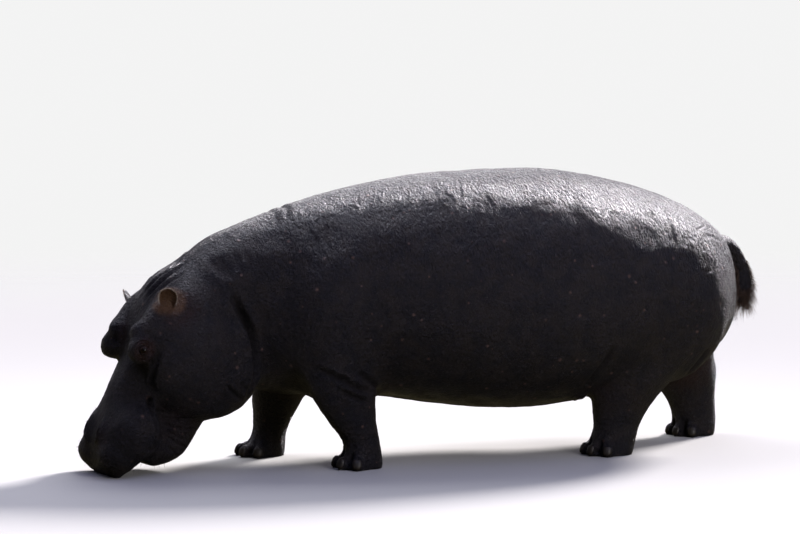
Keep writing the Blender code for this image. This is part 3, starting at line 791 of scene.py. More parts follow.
def ear_masks(hide):
    """Three masks: where the ears are, their hollows, and a painted highlight along the upper part of their
    thin rims.
    """
    points = points_of(hide.data)
    normals = normals_of(hide.data)
    ears, hollows, rim_highlights = np.zeros((3, len(points)))
    for side in (1, -1):
        rings, root, along = ear_rings(side)
        top = root + along * EAR_LENGTH * 0.62
        ears = np.maximum(ears, 1.0 - ramp(distances(points, top), 0.055, 0.070))
        height = (points - np.array(root)) @ np.array(along) / EAR_LENGTH
        inner = ramp(normals @ np.array(ear_opening(side)), 0.05, 0.45) * ramp(height, 0.08, 0.38)
        apart = distances(points, sum(rings[14], Vector()) / EAR_RING)
        hollows = np.maximum(hollows, inner * (1.0 - ramp(apart, 0.070, 0.095)))
        rim = np.array([tuple(place) for place in ear_rim(rings, 8)])
        close, distance, _ = near_path(points, rim, 0.0075)
        # Painted highlight along the rim, only on its upper part.
        rim_highlights[close] = (1.0 - ramp(distance, 0.0035, 0.0075)) * ramp(height[close], 0.35, 0.60)
    return ears, hollows, rim_highlights


def nail_frame(nail):
    """A nail's middle and the directions out of the foot, across the nail and up."""
    middle = middle_of(nail)
    foot = middle_of("foot_" + nail.removeprefix("nail_")[:-2])
    out = Vector((middle.x - foot.x, middle.y - foot.y, 0.0)).normalized()
    up = Vector((0, 0, 1))
    return middle, np.array((out, up.cross(out), up))


def seat_nails(hide):
    """Draws the hide in behind each nail's face and lets it swell into a cuticle round the edges."""
    points = points_of(hide.data)
    for nail in NAILS:
        middle, axes = nail_frame(nail)
        apart = (points - np.array(middle)) @ axes.T
        apart[:, 0] += NAIL_LEAN * apart[:, 2]
        reach = np.linalg.norm(apart / NAIL_SIZE, axis=1)
        near = np.nonzero(reach < CUTICLE_REACH)[0]
        apart = apart[near]
        reach = np.maximum(reach[near], 0.001)
        toward = apart / NAIL_SIZE / reach[:, None]
        bare = ramp(toward[:, 0], 0.20, 0.50) * (1.0 - ramp(toward[:, 2], 0.62, 0.85))
        inside = 1.0 - ramp(reach, CUTICLE, CUTICLE_REACH)
        target = np.minimum(reach, NAIL_BED) * bare + np.maximum(reach, CUTICLE) * (1.0 - bare)
        scale = 1.0 + (target / reach - 1.0) * inside
        apart *= scale[:, None]
        apart[:, 0] -= NAIL_LEAN * apart[:, 2]
        points[near] = np.array(middle) + apart @ axes
    place_points(hide.data, points)


# A toe's rise: height above the floor, radius and how far it swells.
TOE = (0.040, 0.030, 0.007)
# The groove between two toes, from the floor up: share of the way out from the foot's middle, height.
TOE_GROOVE = ((1.00, 0.000), (0.98, 0.030), (0.90, 0.065), (0.72, 0.100))


def part_toes(folds_and_shade):
    """A rounded toe behind each nail and a groove between neighbours."""
    for leg in LEGS:
        foot = middle_of("foot_" + leg)
        nails = [middle_of(f"nail_{leg}_{toe}") for toe in TOES]
        for nail in nails:
            folds_and_shade.swell((nail.x, nail.y, TOE[0]), *TOE[1:])
        for one, two in zip(nails, nails[1:]):
            between = (one + two) / 2
            out = Vector((between.x - foot.x, between.y - foot.y, 0.0))
            reach = out.length
            places = []
            for share, height in TOE_GROOVE:
                head = foot + out * (share * (reach + 0.020) / reach)
                places.append((head.x, head.y, height))
            folds_and_shade.crease(places, 0.010, 0.015, lip=0.15, taper=0.35)


# Uneven rises all over the hide: height, size, seed. The last are crinkles.
RISES = ((0.0026, 0.11, 200), (0.0014, 0.045, 201))
CRINKLES = (0.0012, 0.024, 202)


def relief(hide, ears):
    """Small uneven rises of the hide all over."""
    points = points_of(hide.data)
    amount = sum(height * noise(points, size, seed) for height, size, seed in RISES)
    height, size, seed = CRINKLES
    amount += height * (np.abs(noise(points * (1.0, 1.0, 0.7), size, seed)) - 0.35)
    above_floor = ramp(points[:, 2], 0.01, 0.05)
    push(hide.data, amount * above_floor * (1.0 - 0.85 * ears))


# Below this height the hide is pressed flat on the floor.
SOLE = 0.004


def build_hide():
    """The whole skin, with the masks that its material reads."""
    hide = rough_hide()
    refine_small_forms(hide)
    join_ears(hide)
    ears, hollows, rim_highlights = ear_masks(hide)
    folds_and_shade = Folds(hide)
    fold_head(folds_and_shade)
    folds_and_shade.settle()
    fold_body(folds_and_shade)
    part_toes(folds_and_shade)
    folds_and_shade.settle()
    relief(hide, ears)
    soften(hide, 1)
    shape_nostrils(hide)
    shape_eyes(hide)
    seat_nails(hide)

    points = points_of(hide.data)
    points[:, 2] = np.where(points[:, 2] < SOLE, 0.0, points[:, 2])
    place_points(hide.data, points)
    place = one_sided(in_head(points))
    # Painted shade: the creases' record and the painted shade of the snout's side, muzzle and lips, in one
    # mask.
    store(hide.data, "folds_and_shade", np.maximum(folds_and_shade.depth, strongest(place, PAINTED_SHADE_PLACES)))
    store(hide.data, "barrel", ramp(points[:, 0], -1.15, -0.80) * ramp(points[:, 2], 0.75, 1.02))
    store(hide.data, "ear_hollows", hollows)
    store(hide.data, "ear_rim_highlight", rim_highlights)
    store(hide.data, "scars_and_lip_glint", scars_and_lip_glint(points))
    warmth = np.maximum(strongest(place, WARM_IN_HEAD), strongest(one_sided(points), WARM_ON_BODY))
    store(hide.data, "warmth", warmth)
    hide.data.materials.clear()
    return hide


# Small pale scars and a painted glint at the lips' corners, on both sides: place in the head's frame, radius.
SCAR_AND_GLINT_PLACES = (
    # The first is the painted glint at the lips' corners; the others are scars.
    ((0.178, 0.152, -0.151), 0.0080), ((0.045, 0.170, 0.010), 0.0045), ((-0.165, 0.205, -0.005), 0.0055),
    ((0.441, 0.141, -0.069), 0.0060))
# Painted shade on the head, on both sides, in its frame: middle, radii, strength.
PAINTED_SHADE_PLACES = (
    ((0.150, 0.130, -0.070), (0.170, 0.090, 0.095), 0.80),      # the snout's side
    ((0.425, 0.200, -0.105), (0.150, 0.120, 0.125), 1.15),      # the muzzle
    ((0.340, 0.120, -0.080), (0.260, 0.220, 0.220), 0.45))      # the lips
# Where the hide is thin and shows reddish brown, in the head's frame and in the world.
WARM_IN_HEAD = (
    ((0.000, 0.215, 0.000), (0.080, 0.070, 0.070), 1.3),        # round the eye
    ((-0.250, 0.230, -0.060), (0.140, 0.090, 0.130), 0.75),     # behind the ear
    ((0.174, 0.154, -0.150), (0.020, 0.030, 0.020), 0.9),       # the lips' corner
    ((-0.080, 0.075, 0.020), (0.120, 0.045, 0.060), 0.6),       # the brow
    ((0.440, 0.100, -0.060), (0.080, 0.080, 0.060), 0.35),      # the nostril
    ((0.150, 0.100, -0.330), (0.250, 0.160, 0.160), 0.30))      # the lower jaw
WARM_ON_BODY = (
    ((-0.500, 0.200, 0.330), (0.300, 0.200, 0.150), 0.6),       # armpit
    ((0.900, 0.180, 0.330), (0.400, 0.260, 0.200), 0.7),        # groin
    ((1.450, 0.160, 0.430), (0.300, 0.220, 0.250), 0.9),        # back of the haunch
    ((0.200, 0.000, 0.230), (0.900, 0.450, 0.160), 0.5))        # belly


def scars_and_lip_glint(points):
    """How pale a scar, or the painted glint at the lips' corners, makes each point."""
    place = one_sided(in_head(points))
    marks = np.zeros(len(points))
    for middle, radius in SCAR_AND_GLINT_PLACES:
        marks = np.maximum(marks, 1.0 - ramp(distances(place, middle), 0.4 * radius, 1.2 * radius))
    return marks


# ---------------------------------------------------------------- materials

def group(name, inputs, outputs):
    """A shader group with named inputs (with their values) and outputs."""
    tree = bpy.data.node_groups.new(name, "ShaderNodeTree")
    for label, kind, value in inputs:
        socket = tree.interface.new_socket(label, in_out="INPUT", socket_type="NodeSocket" + kind)
        if value is not None:
            socket.default_value = value
    for label, kind in outputs:
        tree.interface.new_socket(label, in_out="OUTPUT", socket_type="NodeSocket" + kind)
    tree.nodes.new("NodeGroupInput").name = "In"
    tree.nodes.new("NodeGroupOutput").name = "Out"
    return tree


def feed(tree, socket, value):
    """Links a socket to another one, or gives it a value."""
    if isinstance(value, bpy.types.NodeSocket):
        tree.links.new(value, socket)
    else:
        socket.default_value = value


def add(tree, kind, inputs=None, **settings):
    """A node with some of its properties and inputs set; an input is a value or a socket to link."""
    node = tree.nodes.new("ShaderNode" + kind)
    for key, value in settings.items():
        setattr(node, key, value)
    for key, value in (inputs or {}).items():
        feed(tree, node.inputs[key], value)
    return node


def maths(tree, operation, first, second=0.0, clamp=False):
    """One sum of two values, each a number or a socket."""
    return add(tree, "Math", {0: first, 1: second}, operation=operation, use_clamp=clamp).outputs[0]


def times(tree, first, second):
    return maths(tree, "MULTIPLY", first, second)


def plus(tree, first, second):
    return maths(tree, "ADD", first, second)


def clouds(tree, place, scale, detail=2.0, roughness=0.5, distortion=0.0):
    """Cloudy values about a half."""
    return add(tree, "TexNoise", {"Vector": place, "Scale": scale, "Detail": detail, "Roughness": roughness,
                                  "Distortion": distortion}).outputs["Fac"]


def spread(tree, value, low, high, to_low=0.0, to_high=1.0):
    """A value carried smoothly from one range to another."""
    return add(tree, "MapRange", {"Value": value, "From Min": low, "From Max": high, "To Min": to_low,
                                  "To Max": to_high}, interpolation_type="SMOOTHSTEP").outputs["Result"]


def blend(tree, share, first, second):
    """A colour between two, by a share of the second."""
    node = add(tree, "Mix", data_type="RGBA")
    for key, value in ((0, share), (6, first), (7, second)):
        feed(tree, node.inputs[key], value)
    return node.outputs[2]


def cracked_skin_group():
    """Fine plates of skin parted by cracks, over soft pimples, as a height and a mask of the cracks."""
    tree = group("Cracked skin",
                 (("Place", "Vector", None), ("Plate Size", "Float", 0.010), ("Crack Width", "Float", 0.10),
                  ("Pimples", "Float", 0.5)),
                 (("Height", "Float"), ("Cracks", "Float")))
    source = tree.nodes["In"].outputs
    scale = maths(tree, "DIVIDE", 1.0, source["Plate Size"])
    warp = add(tree, "TexNoise", {"Vector": source["Place"], "Scale": 45.0, "Detail": 2.0})
    shift = add(tree, "VectorMath", {0: warp.outputs["Color"], "Scale": 0.006}, operation="SCALE").outputs[0]
    place = add(tree, "VectorMath", {0: source["Place"], 1: shift}, operation="ADD").outputs[0]
    plates = add(tree, "TexVoronoi", {"Vector": place, "Scale": scale}, feature="DISTANCE_TO_EDGE")
    finer = times(tree, scale, 2.6)
    fine = add(tree, "TexVoronoi", {"Vector": place, "Scale": finer}, feature="DISTANCE_TO_EDGE")
    open_plate = spread(tree, plates.outputs["Distance"], 0.0, source["Crack Width"])
    open_fine = spread(tree, fine.outputs["Distance"], 0.0, source["Crack Width"])
    pimple = clouds(tree, place, times(tree, scale, 3.4), 3.0, 0.6)
    height = plus(tree, times(tree, open_plate, 0.6), times(tree, open_fine, 0.3))
    height = plus(tree, height, times(tree, pimple, source["Pimples"]))
    tree.links.new(height, tree.nodes["Out"].inputs["Height"])
    tree.links.new(maths(tree, "SUBTRACT", 1.0, open_plate), tree.nodes["Out"].inputs["Cracks"])
    return tree


def long_wrinkles_group():
    """Fine wrinkles that run over the back and down the ribs, crossed by a few coarser ones."""
    tree = group("Long wrinkles",
                 (("Place", "Vector", None), ("Spacing", "Float", 0.012), ("Coarse", "Float", 0.5)),
                 (("Height", "Float"),))
    source = tree.nodes["In"].outputs
    place = add(tree, "Mapping", {"Vector": source["Place"], "Scale": (1.0, 0.50, 0.50)}).outputs[0]
    scale = maths(tree, "DIVIDE", 1.0, source["Spacing"])
    fine = clouds(tree, place, scale, 2.5, 0.55, 0.5)
    coarse = clouds(tree, place, times(tree, scale, 0.28), 1.0, distortion=0.4)
    ridges = spread(tree, maths(tree, "ABSOLUTE", maths(tree, "SUBTRACT", coarse, 0.5)), 0.0, 0.07)
    height = plus(tree, fine, times(tree, ridges, source["Coarse"]))
    tree.links.new(height, tree.nodes["Out"].inputs["Height"])
    return tree


def mottle_group():
    """Cloudy change between two colours, with sparse pale spots."""
    tree = group("Mottled colour",
                 (("Place", "Vector", None), ("First", "Color", None), ("Second", "Color", None),
                  ("Spot", "Color", None), ("Cloud Size", "Float", 0.10), ("Spot Size", "Float", 0.03),
                  ("Spots", "Float", 0.10)),
                 (("Color", "Color"),))
    source = tree.nodes["In"].outputs
    cloud = clouds(tree, source["Place"], maths(tree, "DIVIDE", 1.0, source["Cloud Size"]), 6.0, 0.62, 0.4)
    colour = blend(tree, spread(tree, cloud, 0.35, 0.65), source["First"], source["Second"])
    dots = add(tree, "TexVoronoi", {"Vector": source["Place"],
                                    "Scale": maths(tree, "DIVIDE", 1.0, source["Spot Size"])}, feature="F1")
    chance = add(tree, "SeparateColor", {0: dots.outputs["Color"]}).outputs
    size = times(tree, chance[0], source["Spots"])
    spot = maths(tree, "SUBTRACT", 1.0, spread(tree, dots.outputs["Distance"], 0.0, size), clamp=True)
    spot = times(tree, spot, spread(tree, chance[1], 0.46, 0.54))
    tree.links.new(blend(tree, spot, colour, source["Spot"]), tree.nodes["Out"].inputs["Color"])
    return tree


def new_material(name, roughness, specular=0.5):
    """A material with its node tree and its shader."""
    material = bpy.data.materials.new(name)
    material.use_nodes = True
    shader = material.node_tree.nodes["Principled BSDF"]
    shader.inputs["Roughness"].default_value = roughness
    shader.inputs["Specular IOR Level"].default_value = specular
    return material, material.node_tree, shader


def use_group(tree, made, **inputs):
    """A shader group in a material, with its own values."""
    node = tree.nodes.new("ShaderNodeGroup")
    node.node_tree = made
    for key, value in inputs.items():
        feed(tree, node.inputs[key.replace("_", " ")], value)
    return node


def attribute(tree, name):
    """A number stored on the mesh."""
    return add(tree, "Attribute", attribute_name=name).outputs["Fac"]


# The hide's colours: its two grounds, thin skin, pale spots, the ears' hollows, a painted highlight on the
# ears' rims, grain, scars with a painted glint at the lips' corners, painted shade for folds and cracks.
SLATE = (0.0080, 0.0088, 0.0150, 1.0)
UMBER = (0.0330, 0.0260, 0.0245, 1.0)
RUST = (0.050, 0.021, 0.014, 1.0)
ROSE = (0.300, 0.185, 0.165, 1.0)
EAR_BROWN = (0.200, 0.105, 0.055, 1.0)
# Painted highlight along the top of each ear's rim.
EAR_RIM_HIGHLIGHT = (0.520, 0.400, 0.340, 1.0)
GRAIN = (0.060, 0.054, 0.058, 1.0)
# Pale scars, and the painted glint at the lips' corners.
SCAR_AND_GLINT = (0.350, 0.230, 0.210, 1.0)
# Painted shade, laid into the folds and the fine cracks.
CREASE_SHADE = (0.004, 0.003, 0.003, 1.0)


def hide_material(cracked, mottled, wrinkled):
    """Dark moist hide: slate and umber, reddish where it is thin, cracked finely all over, with painted shade
    in its folds, cracks, snout and muzzle, and painted highlights on the ears' rims and the lips' corners.
    """
    material, tree, shader = new_material("Hide", 0.42)
    shader.inputs["Specular Tint"].default_value = (0.97, 0.90, 1.0, 1.0)
    place = add(tree, "TexCoord").outputs["Object"]
    base = use_group(tree, mottled, Place=place, First=SLATE, Second=UMBER, Spot=ROSE,
                     Cloud_Size=0.07, Spot_Size=0.045, Spots=0.32)
    skin = use_group(tree, cracked, Place=place, Plate_Size=0.011, Crack_Width=0.10, Pimples=0.55)
    cracks = skin.outputs["Cracks"]
    folds_and_shade = attribute(tree, "folds_and_shade")
    patchy = spread(tree, clouds(tree, place, 26.0, 5.0, 0.65), 0.30, 0.62, 0.40, 1.0)
    grain = spread(tree, clouds(tree, place, 190.0, 3.0, 0.6), 0.42, 0.68, 0.0, 0.45)
    colour = base.outputs["Color"]
    for share, other in (
            (grain, GRAIN),
            (times(tree, attribute(tree, "warmth"), patchy), RUST),
            (attribute(tree, "ear_hollows"), EAR_BROWN),
            # Painted highlight on the ears' rims.
            (attribute(tree, "ear_rim_highlight"), EAR_RIM_HIGHLIGHT),
            # Pale scars, and the painted glint at the lips' corners.
            (attribute(tree, "scars_and_lip_glint"), SCAR_AND_GLINT),
            # Painted shade in the folds and on the snout, muzzle and lips.
            (times(tree, folds_and_shade, 0.85), CREASE_SHADE),
            # Painted shade in the fine cracks.
            (times(tree, cracks, 0.45), CREASE_SHADE)):
        colour = blend(tree, share, colour, other)
    tree.links.new(colour, shader.inputs["Base Color"])

    rough = spread(tree, clouds(tree, place, 9.0, 4.0, 0.6), 0.35, 0.68, 0.29, 0.43)
    rough = plus(tree, rough, times(tree, cracks, 0.15))
    rough = plus(tree, rough, times(tree, folds_and_shade, 0.30))
    tree.links.new(rough, shader.inputs["Roughness"])
    coarse = clouds(tree, place, 70.0, 3.0, 0.60, 0.6)
    lines = use_group(tree, wrinkled, Place=place, Spacing=0.011, Coarse=0.12).outputs["Height"]
    on_barrel = attribute(tree, "barrel")
    uneven = add(tree, "Mix", {0: on_barrel, 2: coarse, 3: lines}, data_type="FLOAT").outputs[0]
    soft = add(tree, "Bump", {"Height": uneven, "Strength": 1.0, "Distance": 0.040}).outputs["Normal"]
    bump = add(tree, "Bump", {"Height": skin.outputs["Height"], "Strength": 1.0, "Distance": 0.0024,
                              "Normal": soft})
    tree.links.new(bump.outputs["Normal"], shader.inputs["Normal"])
    return material


def horn_material(mottled):
    """Dark mottled horn with fine upright ridges."""
    material, tree, shader = new_material("Nail horn", 0.45)
    place = add(tree, "TexCoord").outputs["Object"]
    base = use_group(tree, mottled, Place=place, First=(0.020, 0.016, 0.014, 1.0),
                     Second=(0.048, 0.037, 0.030, 1.0), Spot=(0.10, 0.08, 0.06, 1.0),
                     Cloud_Size=0.018, Spot_Size=0.012, Spots=0.10)
    tree.links.new(base.outputs["Color"], shader.inputs["Base Color"])
    stretched = add(tree, "Mapping", {"Vector": place, "Scale": (1.0, 1.0, 0.12)}).outputs[0]
    lines = clouds(tree, stretched, 420.0, 3.0)
    bump = add(tree, "Bump", {"Height": lines, "Strength": 0.6, "Distance": 0.0010})
    tree.links.new(bump.outputs["Normal"], shader.inputs["Normal"])
    tree.links.new(spread(tree, lines, 0.3, 0.7, 0.35, 0.6), shader.inputs["Roughness"])
    return material


def eye_material():
    """Wet brown eye with a dark pupil, told by the stored distance from its middle."""
    material, tree, shader = new_material("Eye", 0.12, 0.20)
    colours = add(tree, "ValToRGB", {0: attribute(tree, "iris")})
    stops = colours.color_ramp.elements
    stops[0].position = 0.0
    stops[0].color = (0.003, 0.002, 0.002, 1.0)
    stops[1].position = 0.24
    stops[1].color = (0.005, 0.003, 0.002, 1.0)
    for position, colour in ((0.30, (0.018, 0.008, 0.004, 1.0)), (0.60, (0.013, 0.006, 0.003, 1.0)),
                             (0.68, (0.006, 0.004, 0.003, 1.0)), (0.80, (0.030, 0.014, 0.012, 1.0))):
        stops.new(position).color = colour
    place = add(tree, "TexCoord").outputs["Object"]
    streaks = spread(tree, clouds(tree, place, 600.0, 3.0), 0.3, 0.7, 0.0, 0.5)
    colour = blend(tree, streaks, colours.outputs[0], (0.012, 0.007, 0.005, 1.0))
    tree.links.new(colour, shader.inputs["Base Color"])
    return material


def bristle_material(name, root_colour, tip_colour, roughness):
    """Hair that changes colour from root to tip."""
    material, tree, shader = new_material(name, roughness)
    place = add(tree, "TexCoord").outputs["Object"]
    grain = spread(tree, clouds(tree, place, 90.0), 0.3, 0.7, 0.5, 1.0)
    share = times(tree, attribute(tree, "along"), grain)
    tree.links.new(blend(tree, share, root_colour, tip_colour), shader.inputs["Base Color"])
    return material


# ---------------------------------------------------------------- eyes, nails, bristles

CORNEA_BULGE = 0.0012


def make_eye(name, side, material):
    """A ball with a bulging cornea, which knows how far each point lies from the pupil."""
    middle, radius, gaze, line = eye_frame(name, side)
    shape = bmesh.new()
    turn = gaze.to_track_quat("Z", "Y").to_matrix().to_4x4()
    bmesh.ops.create_uvsphere(shape, u_segments=48, v_segments=32, radius=radius,
                              matrix=Matrix.Translation(middle) @ turn)
    mesh = mesh_from(shape, name + "_ball")
    points = points_of(mesh)
    apart = points - np.array(middle)
    facing = apart @ np.array(gaze) / radius
    cornea = CORNEA_BULGE * ramp(facing, 0.72, 1.0)
    place_points(mesh, points + np.array(gaze) * cornea[:, None])
    away = np.arccos(np.clip(facing, -1.0, 1.0)) / (math.pi / 2)
    slit = np.abs(apart @ np.array(line)) / radius
    store(mesh, "iris", away * 1.25 - 0.12 * slit * (away < 0.35))
    piece = finish(new_object(name + "_ball", mesh), material)
    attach(piece, "root")
    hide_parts(name)


def make_nail(name, material):
    """A rounded hoof nail, flat across its lower edge and finely ridged."""
    middle, axes = nail_frame(name)
    shape = bmesh.new()
    bmesh.ops.create_uvsphere(shape, u_segments=40, v_segments=28, radius=1.0)
    mesh = mesh_from(shape, name + "_horn")
    points = points_of(mesh)
    points = np.sign(points) * np.abs(points) ** 0.85 * NAIL_SIZE
    points[:, 0] += 0.0004 * np.sin(points[:, 1] * 900.0) - NAIL_LEAN * points[:, 2]
    points[:, 2] = np.maximum(points[:, 2], SOLE - middle.z)
    place_points(mesh, points @ axes + np.array(middle))
    piece = finish(new_object(name + "_horn", mesh), material)
    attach(piece, "root")
    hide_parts(name)


MUZZLE_HAIRS = 420
EAR_HAIRS = 700
TAIL_HAIRS = 3800
# A hair is a thin three-sided spike.
HAIR_RINGS = 5
HAIR_SIDES = ((0, 1), (1, 2), (2, 0))
# The tail's brush reaches this high above its tip, and is closed all round below the second height.
BRUSH_HEIGHT = 0.24
BRUSH_CLOSED = 0.10
# The body's plain unwrap runs round an axis at this height; each hair has its own patch of it.
BODY_AXIS_HEIGHT = 0.75
HAIR_PATCH = 0.003


def unwrapped(point):
    """A point's place on a plain unwrap of the body: along it, and round it."""
    low, high = SOLID_BOX
    u = (point.x - low.x) / (high.x - low.x)
    v = 0.5 + math.atan2(point.y, point.z - BODY_AXIS_HEIGHT) / (2 * math.pi)
    return 0.01 + 0.98 * u, 0.01 + 0.98 * v


def make_bristles(name, hairs, material):
    """Thin three-sided hairs, each from its root along a heading, drooping a little to a point.

    A hair is (root, heading, length, half thickness, droop)."""
    shape = bmesh.new()
    uv = shape.loops.layers.uv.new("OFBake")
    along = shape.verts.layers.float.new("along")
    for root, heading, length, half, droop in hairs:
        side = heading.orthogonal().normalized()
        other = heading.cross(side)
        loops = []
        for k in range(HAIR_RINGS):
            share = k / HAIR_RINGS
            middle = root + heading * (length * share) - Vector((0, 0, droop * length * share ** 2))
            width = half * (1.0 - share) ** 0.7
            loop = []
            for turn in (0.0, 2 * math.pi / 3, 4 * math.pi / 3):
                out = side * (width * math.cos(turn))
                vert = shape.verts.new(middle + out + other * (width * math.sin(turn)))
                vert[along] = share
                loop.append(vert)
            loops.append(loop)
        tip = shape.verts.new(root + heading * length - Vector((0, 0, droop * length)))
        tip[along] = 1.0
        faces = [shape.faces.new(loops[0][::-1])]
        for near, far in zip(loops, loops[1:]):
            faces += [shape.faces.new((near[i], near[j], far[j], far[i])) for i, j in HAIR_SIDES]
        faces += [shape.faces.new((loops[-1][i], loops[-1][j], tip)) for i, j in HAIR_SIDES]
        u, v = unwrapped(root)
        places = {vert: (u + HAIR_PATCH * (i % 3) / 2, v + HAIR_PATCH * vert[along])
                  for loop in loops + [[tip]] for i, vert in enumerate(loop)}
        for face in faces:
            for corner in face.loops:
                corner[uv].uv = places[corner.vert]
    piece = finish(new_object(name, mesh_from(shape, name)), material)
    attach(piece, "root")


def muzzle_hairs(hide, rng):
    """Sparse stiff whiskers on the lips and chin."""
    points = points_of(hide.data)
    normals = normals_of(hide.data)
    place = in_head(points)
    lips = (place[:, 0] > 0.26) & (place[:, 2] < 0.0) & (place[:, 2] > -0.26)
    chin = (place[:, 0] > 0.20) & (place[:, 2] < -0.30)
    allowed = np.nonzero((lips | chin) & (points[:, 2] > 0.02))[0]
    hairs = []
    for i in rng.choice(allowed, MUZZLE_HAIRS, replace=False):
        normal = Vector(normals[i])
        heading = (normal + Vector(rng.uniform(-0.35, 0.35, 3))).normalized()
        hairs.append((Vector(points[i]) - normal * 0.002, heading, rng.uniform(0.012, 0.030),
                      rng.uniform(0.00035, 0.0006), rng.uniform(0.1, 0.5)))
    return [h for h in hairs if h[0].z + h[1].z * h[2] - h[4] * h[2] > 0.003]


def ear_hairs(rng):
    """Fine short hair along each ear's rim."""
    hairs = []
    for side in (1, -1):
        rings, _, along = ear_rings(side)
        middle = sum(rings[18], Vector()) / EAR_RING
        rim = ear_rim(rings, 12)
        for _ in range(EAR_HAIRS):
            k = rng.integers(len(rim) - 1)
            place = rim[k].lerp(rim[k + 1], rng.uniform())
            away = (place - middle).normalized()
            heading = (away + along * 0.6 + Vector(rng.uniform(-0.45, 0.45, 3))).normalized()
            hairs.append((place - away * 0.003, heading, rng.uniform(0.005, 0.011),
                          rng.uniform(0.0003, 0.0005), 0.05))
    return hairs


def tail_hairs(hide, rng):
    """A wiry brush along both edges of the tail's lower half and all round its end."""
    points = points_of(hide.data)
    normals = normals_of(hide.data)
    low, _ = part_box("tail")
    height = points[:, 2] - low.z
    on_tail = (points[:, 0] > low.x + 0.05) & (np.abs(points[:, 1]) < 0.060)
    on_tail &= (height < BRUSH_HEIGHT) & (height > -0.02)
    edges = on_tail & ((np.abs(normals[:, 1]) < 0.85) | (height < BRUSH_CLOSED))
    hairs = []
    for i in rng.choice(np.nonzero(edges)[0], TAIL_HAIRS):
        normal = Vector(normals[i])
        spread_out = Vector(rng.uniform(-0.30, 0.30, 3))
        heading = (normal + Vector((0.0, 0.0, -0.60)) + spread_out).normalized()
        lower = 1.0 - height[i] / BRUSH_HEIGHT
        length = rng.uniform(0.45, 1.0) * (0.018 + 0.062 * max(0.0, lower))
        hairs.append((Vector(points[i]) - normal * 0.002, heading, length, rng.uniform(0.0006, 0.0011),
                      rng.uniform(0.1, 0.5)))
    return hairs


# ---------------------------------------------------------------- the room

# The camera: its turn about the upright, distance, height, drop below level and lens, and its aim's x.
CAMERA_TURN = math.radians(20.0)
CAMERA_DISTANCE = 10.63
CAMERA_HEIGHT = 1.497
CAMERA_DROP = math.radians(3.045)
CAMERA_LENS = 98.1
AIM_X = -0.179


def add_camera():
    """The camera of the main view."""
    data = bpy.data.cameras.new("Camera")
    data.lens = CAMERA_LENS
    data.sensor_width = 36.0
    camera = bpy.data.objects.new("Camera", data)
    bpy.context.scene.collection.objects.link(camera)
    camera.location = (AIM_X - CAMERA_DISTANCE * math.sin(CAMERA_TURN),
                       -CAMERA_DISTANCE * math.cos(CAMERA_TURN), CAMERA_HEIGHT)
    camera.rotation_euler = (math.pi / 2 - CAMERA_DROP, 0.0, -CAMERA_TURN)
    bpy.context.scene.camera = camera


def add_sun(name, source, energy, angle, colour):
    """Parallel light from a heading."""
    data = bpy.data.lights.new(name, "SUN")
    data.energy = energy
    data.angle = math.radians(angle)
    data.color = colour
    sun = bpy.data.objects.new(name, data)
    bpy.context.scene.collection.objects.link(sun)
    sun.rotation_euler = Vector(source).to_track_quat("Z", "Y").to_euler()


def add_panel(name, place, aim, size, size_y, power, colour):
    """Light from a rectangle."""
    data = bpy.data.lights.new(name, "AREA")
    data.shape = "RECTANGLE"
    data.size = size
    data.size_y = size_y
    data.energy = power
    data.color = colour
    lamp = bpy.data.objects.new(name, data)
    bpy.context.scene.collection.objects.link(lamp)
    lamp.location = place
    lamp.rotation_euler = (Vector(aim) - Vector(place)).to_track_quat("-Z", "Y").to_euler()


# The room as the camera sees it, and the floor as the camera sees it and as it lights the animal.
PALE = (0.90, 0.90, 0.90, 1.0)
FLOOR_SEEN = (0.64, 0.625, 0.60, 1.0)
FLOOR_GLOW = (0.105, 0.092, 0.048, 1.0)
# The room's light from low down, from overhead, from the far side and from ahead of the animal.
GLOW_LOW = (0.040, 0.048, 0.062, 1.0)
GLOW_OVERHEAD = (0.54, 0.57, 0.92, 1.0)
GLOW_FAR_SIDE = (0.60, 0.58, 0.66, 1.0)
GLOW_AHEAD = (0.014, 0.017, 0.022, 1.0)


def add_floor():
    """A pale floor which melts into the pale room far away, and lights the belly only a little."""
    shape = bmesh.new()
    bmesh.ops.create_circle(shape, cap_ends=True, segments=96, radius=40.0)
    mesh = mesh_from(shape, "floor")
    material, tree, shader = new_material("Floor", 0.9, 0.0)
    seen = add(tree, "LightPath").outputs["Is Camera Ray"]
    tree.links.new(blend(tree, seen, FLOOR_GLOW, FLOOR_SEEN), shader.inputs["Base Color"])
    place = add(tree, "TexCoord").outputs["Object"]
    away = add(tree, "VectorMath", {0: place}, operation="LENGTH").outputs["Value"]
    tree.links.new(spread(tree, away, 3.0, 24.0, 1.0, 0.0), shader.inputs["Alpha"])
    mesh.materials.append(material)
    floor = new_object("floor", mesh)
    floor.location = (0.0, 0.0, -0.0005)


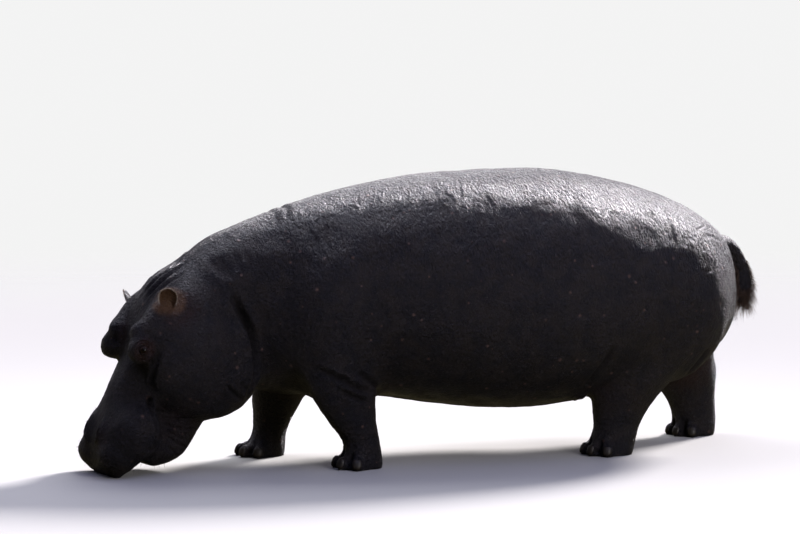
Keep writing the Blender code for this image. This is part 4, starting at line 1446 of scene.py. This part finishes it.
def add_room():
    """Soft light from above and behind, so that the back gleams and the flank stays dark."""
    add_floor()
    world = bpy.data.worlds.new("Room")
    bpy.context.scene.world = world
    world.use_nodes = True
    tree = world.node_tree
    dim = tree.nodes["Background"]
    heading = add(tree, "TexCoord").outputs["Generated"]
    parts = add(tree, "SeparateXYZ", {0: heading}).outputs
    overhead = spread(tree, parts["Z"], 0.25, 1.0)
    far_side = times(tree, spread(tree, parts["Y"], -0.3, 0.9), 0.85)
    not_ahead = spread(tree, parts["X"], -0.95, 0.10)
    light = blend(tree, overhead, GLOW_LOW, GLOW_OVERHEAD)
    light = blend(tree, far_side, light, GLOW_FAR_SIDE)
    light = blend(tree, not_ahead, GLOW_AHEAD, light)
    tree.links.new(light, dim.inputs["Color"])
    pale = add(tree, "Background", {"Color": PALE})
    seen = add(tree, "LightPath").outputs["Is Camera Ray"]
    mix = add(tree, "MixShader", {0: seen, 1: dim.outputs[0], 2: pale.outputs[0]})
    tree.links.new(mix.outputs[0], tree.nodes["World Output"].inputs["Surface"])
    add_sun("Hazy sun", (0.72, 0.475, 0.56), 6.1, 14.0, (1.0, 0.965, 0.985))
    add_sun("Back light", (0.30, 0.90, 0.36), 0.35, 20.0, (1.0, 0.97, 0.98))
    add_panel("Side panel", (2.5, -9.0, 3.5), (0.0, 0.0, 0.8), 3.5, 2.0, 235.0, (1.0, 0.97, 0.95))
    add_panel("Top panel", (0.0, 1.7, 4.2), (-0.8, 0.0, 1.1), 2.5, 2.0, 100.0, (0.90, 0.93, 1.0))


def main():
    cracked = cracked_skin_group()
    mottled = mottle_group()
    hide = finish(build_hide(), hide_material(cracked, mottled, long_wrinkles_group()))
    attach(hide, "root")
    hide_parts(*FLESH, *EARS)

    eye_look = eye_material()
    for side, name in zip((1, -1), EYES):
        make_eye(name, side, eye_look)
    horn = horn_material(mottled)
    for name in NAILS:
        make_nail(name, horn)
    rng = np.random.default_rng(11)
    stiff = bristle_material("Bristle", (0.030, 0.022, 0.018, 1.0), (0.14, 0.10, 0.075, 1.0), 0.45)
    fine = bristle_material("Ear hair", (0.30, 0.21, 0.16, 1.0), (0.80, 0.70, 0.60, 1.0), 0.5)
    make_bristles("muzzle_bristles", muzzle_hairs(hide, rng), stiff)
    make_bristles("ear_bristles", ear_hairs(rng), fine)
    brush = bristle_material("Tail hair", (0.030, 0.020, 0.015, 1.0), (0.26, 0.16, 0.11, 1.0), 0.5)
    make_bristles("tail_bristles", tail_hairs(hide, rng), brush)
    add_room()
    add_camera()
    bpy.context.scene.view_settings.view_transform = "Standard"


main()
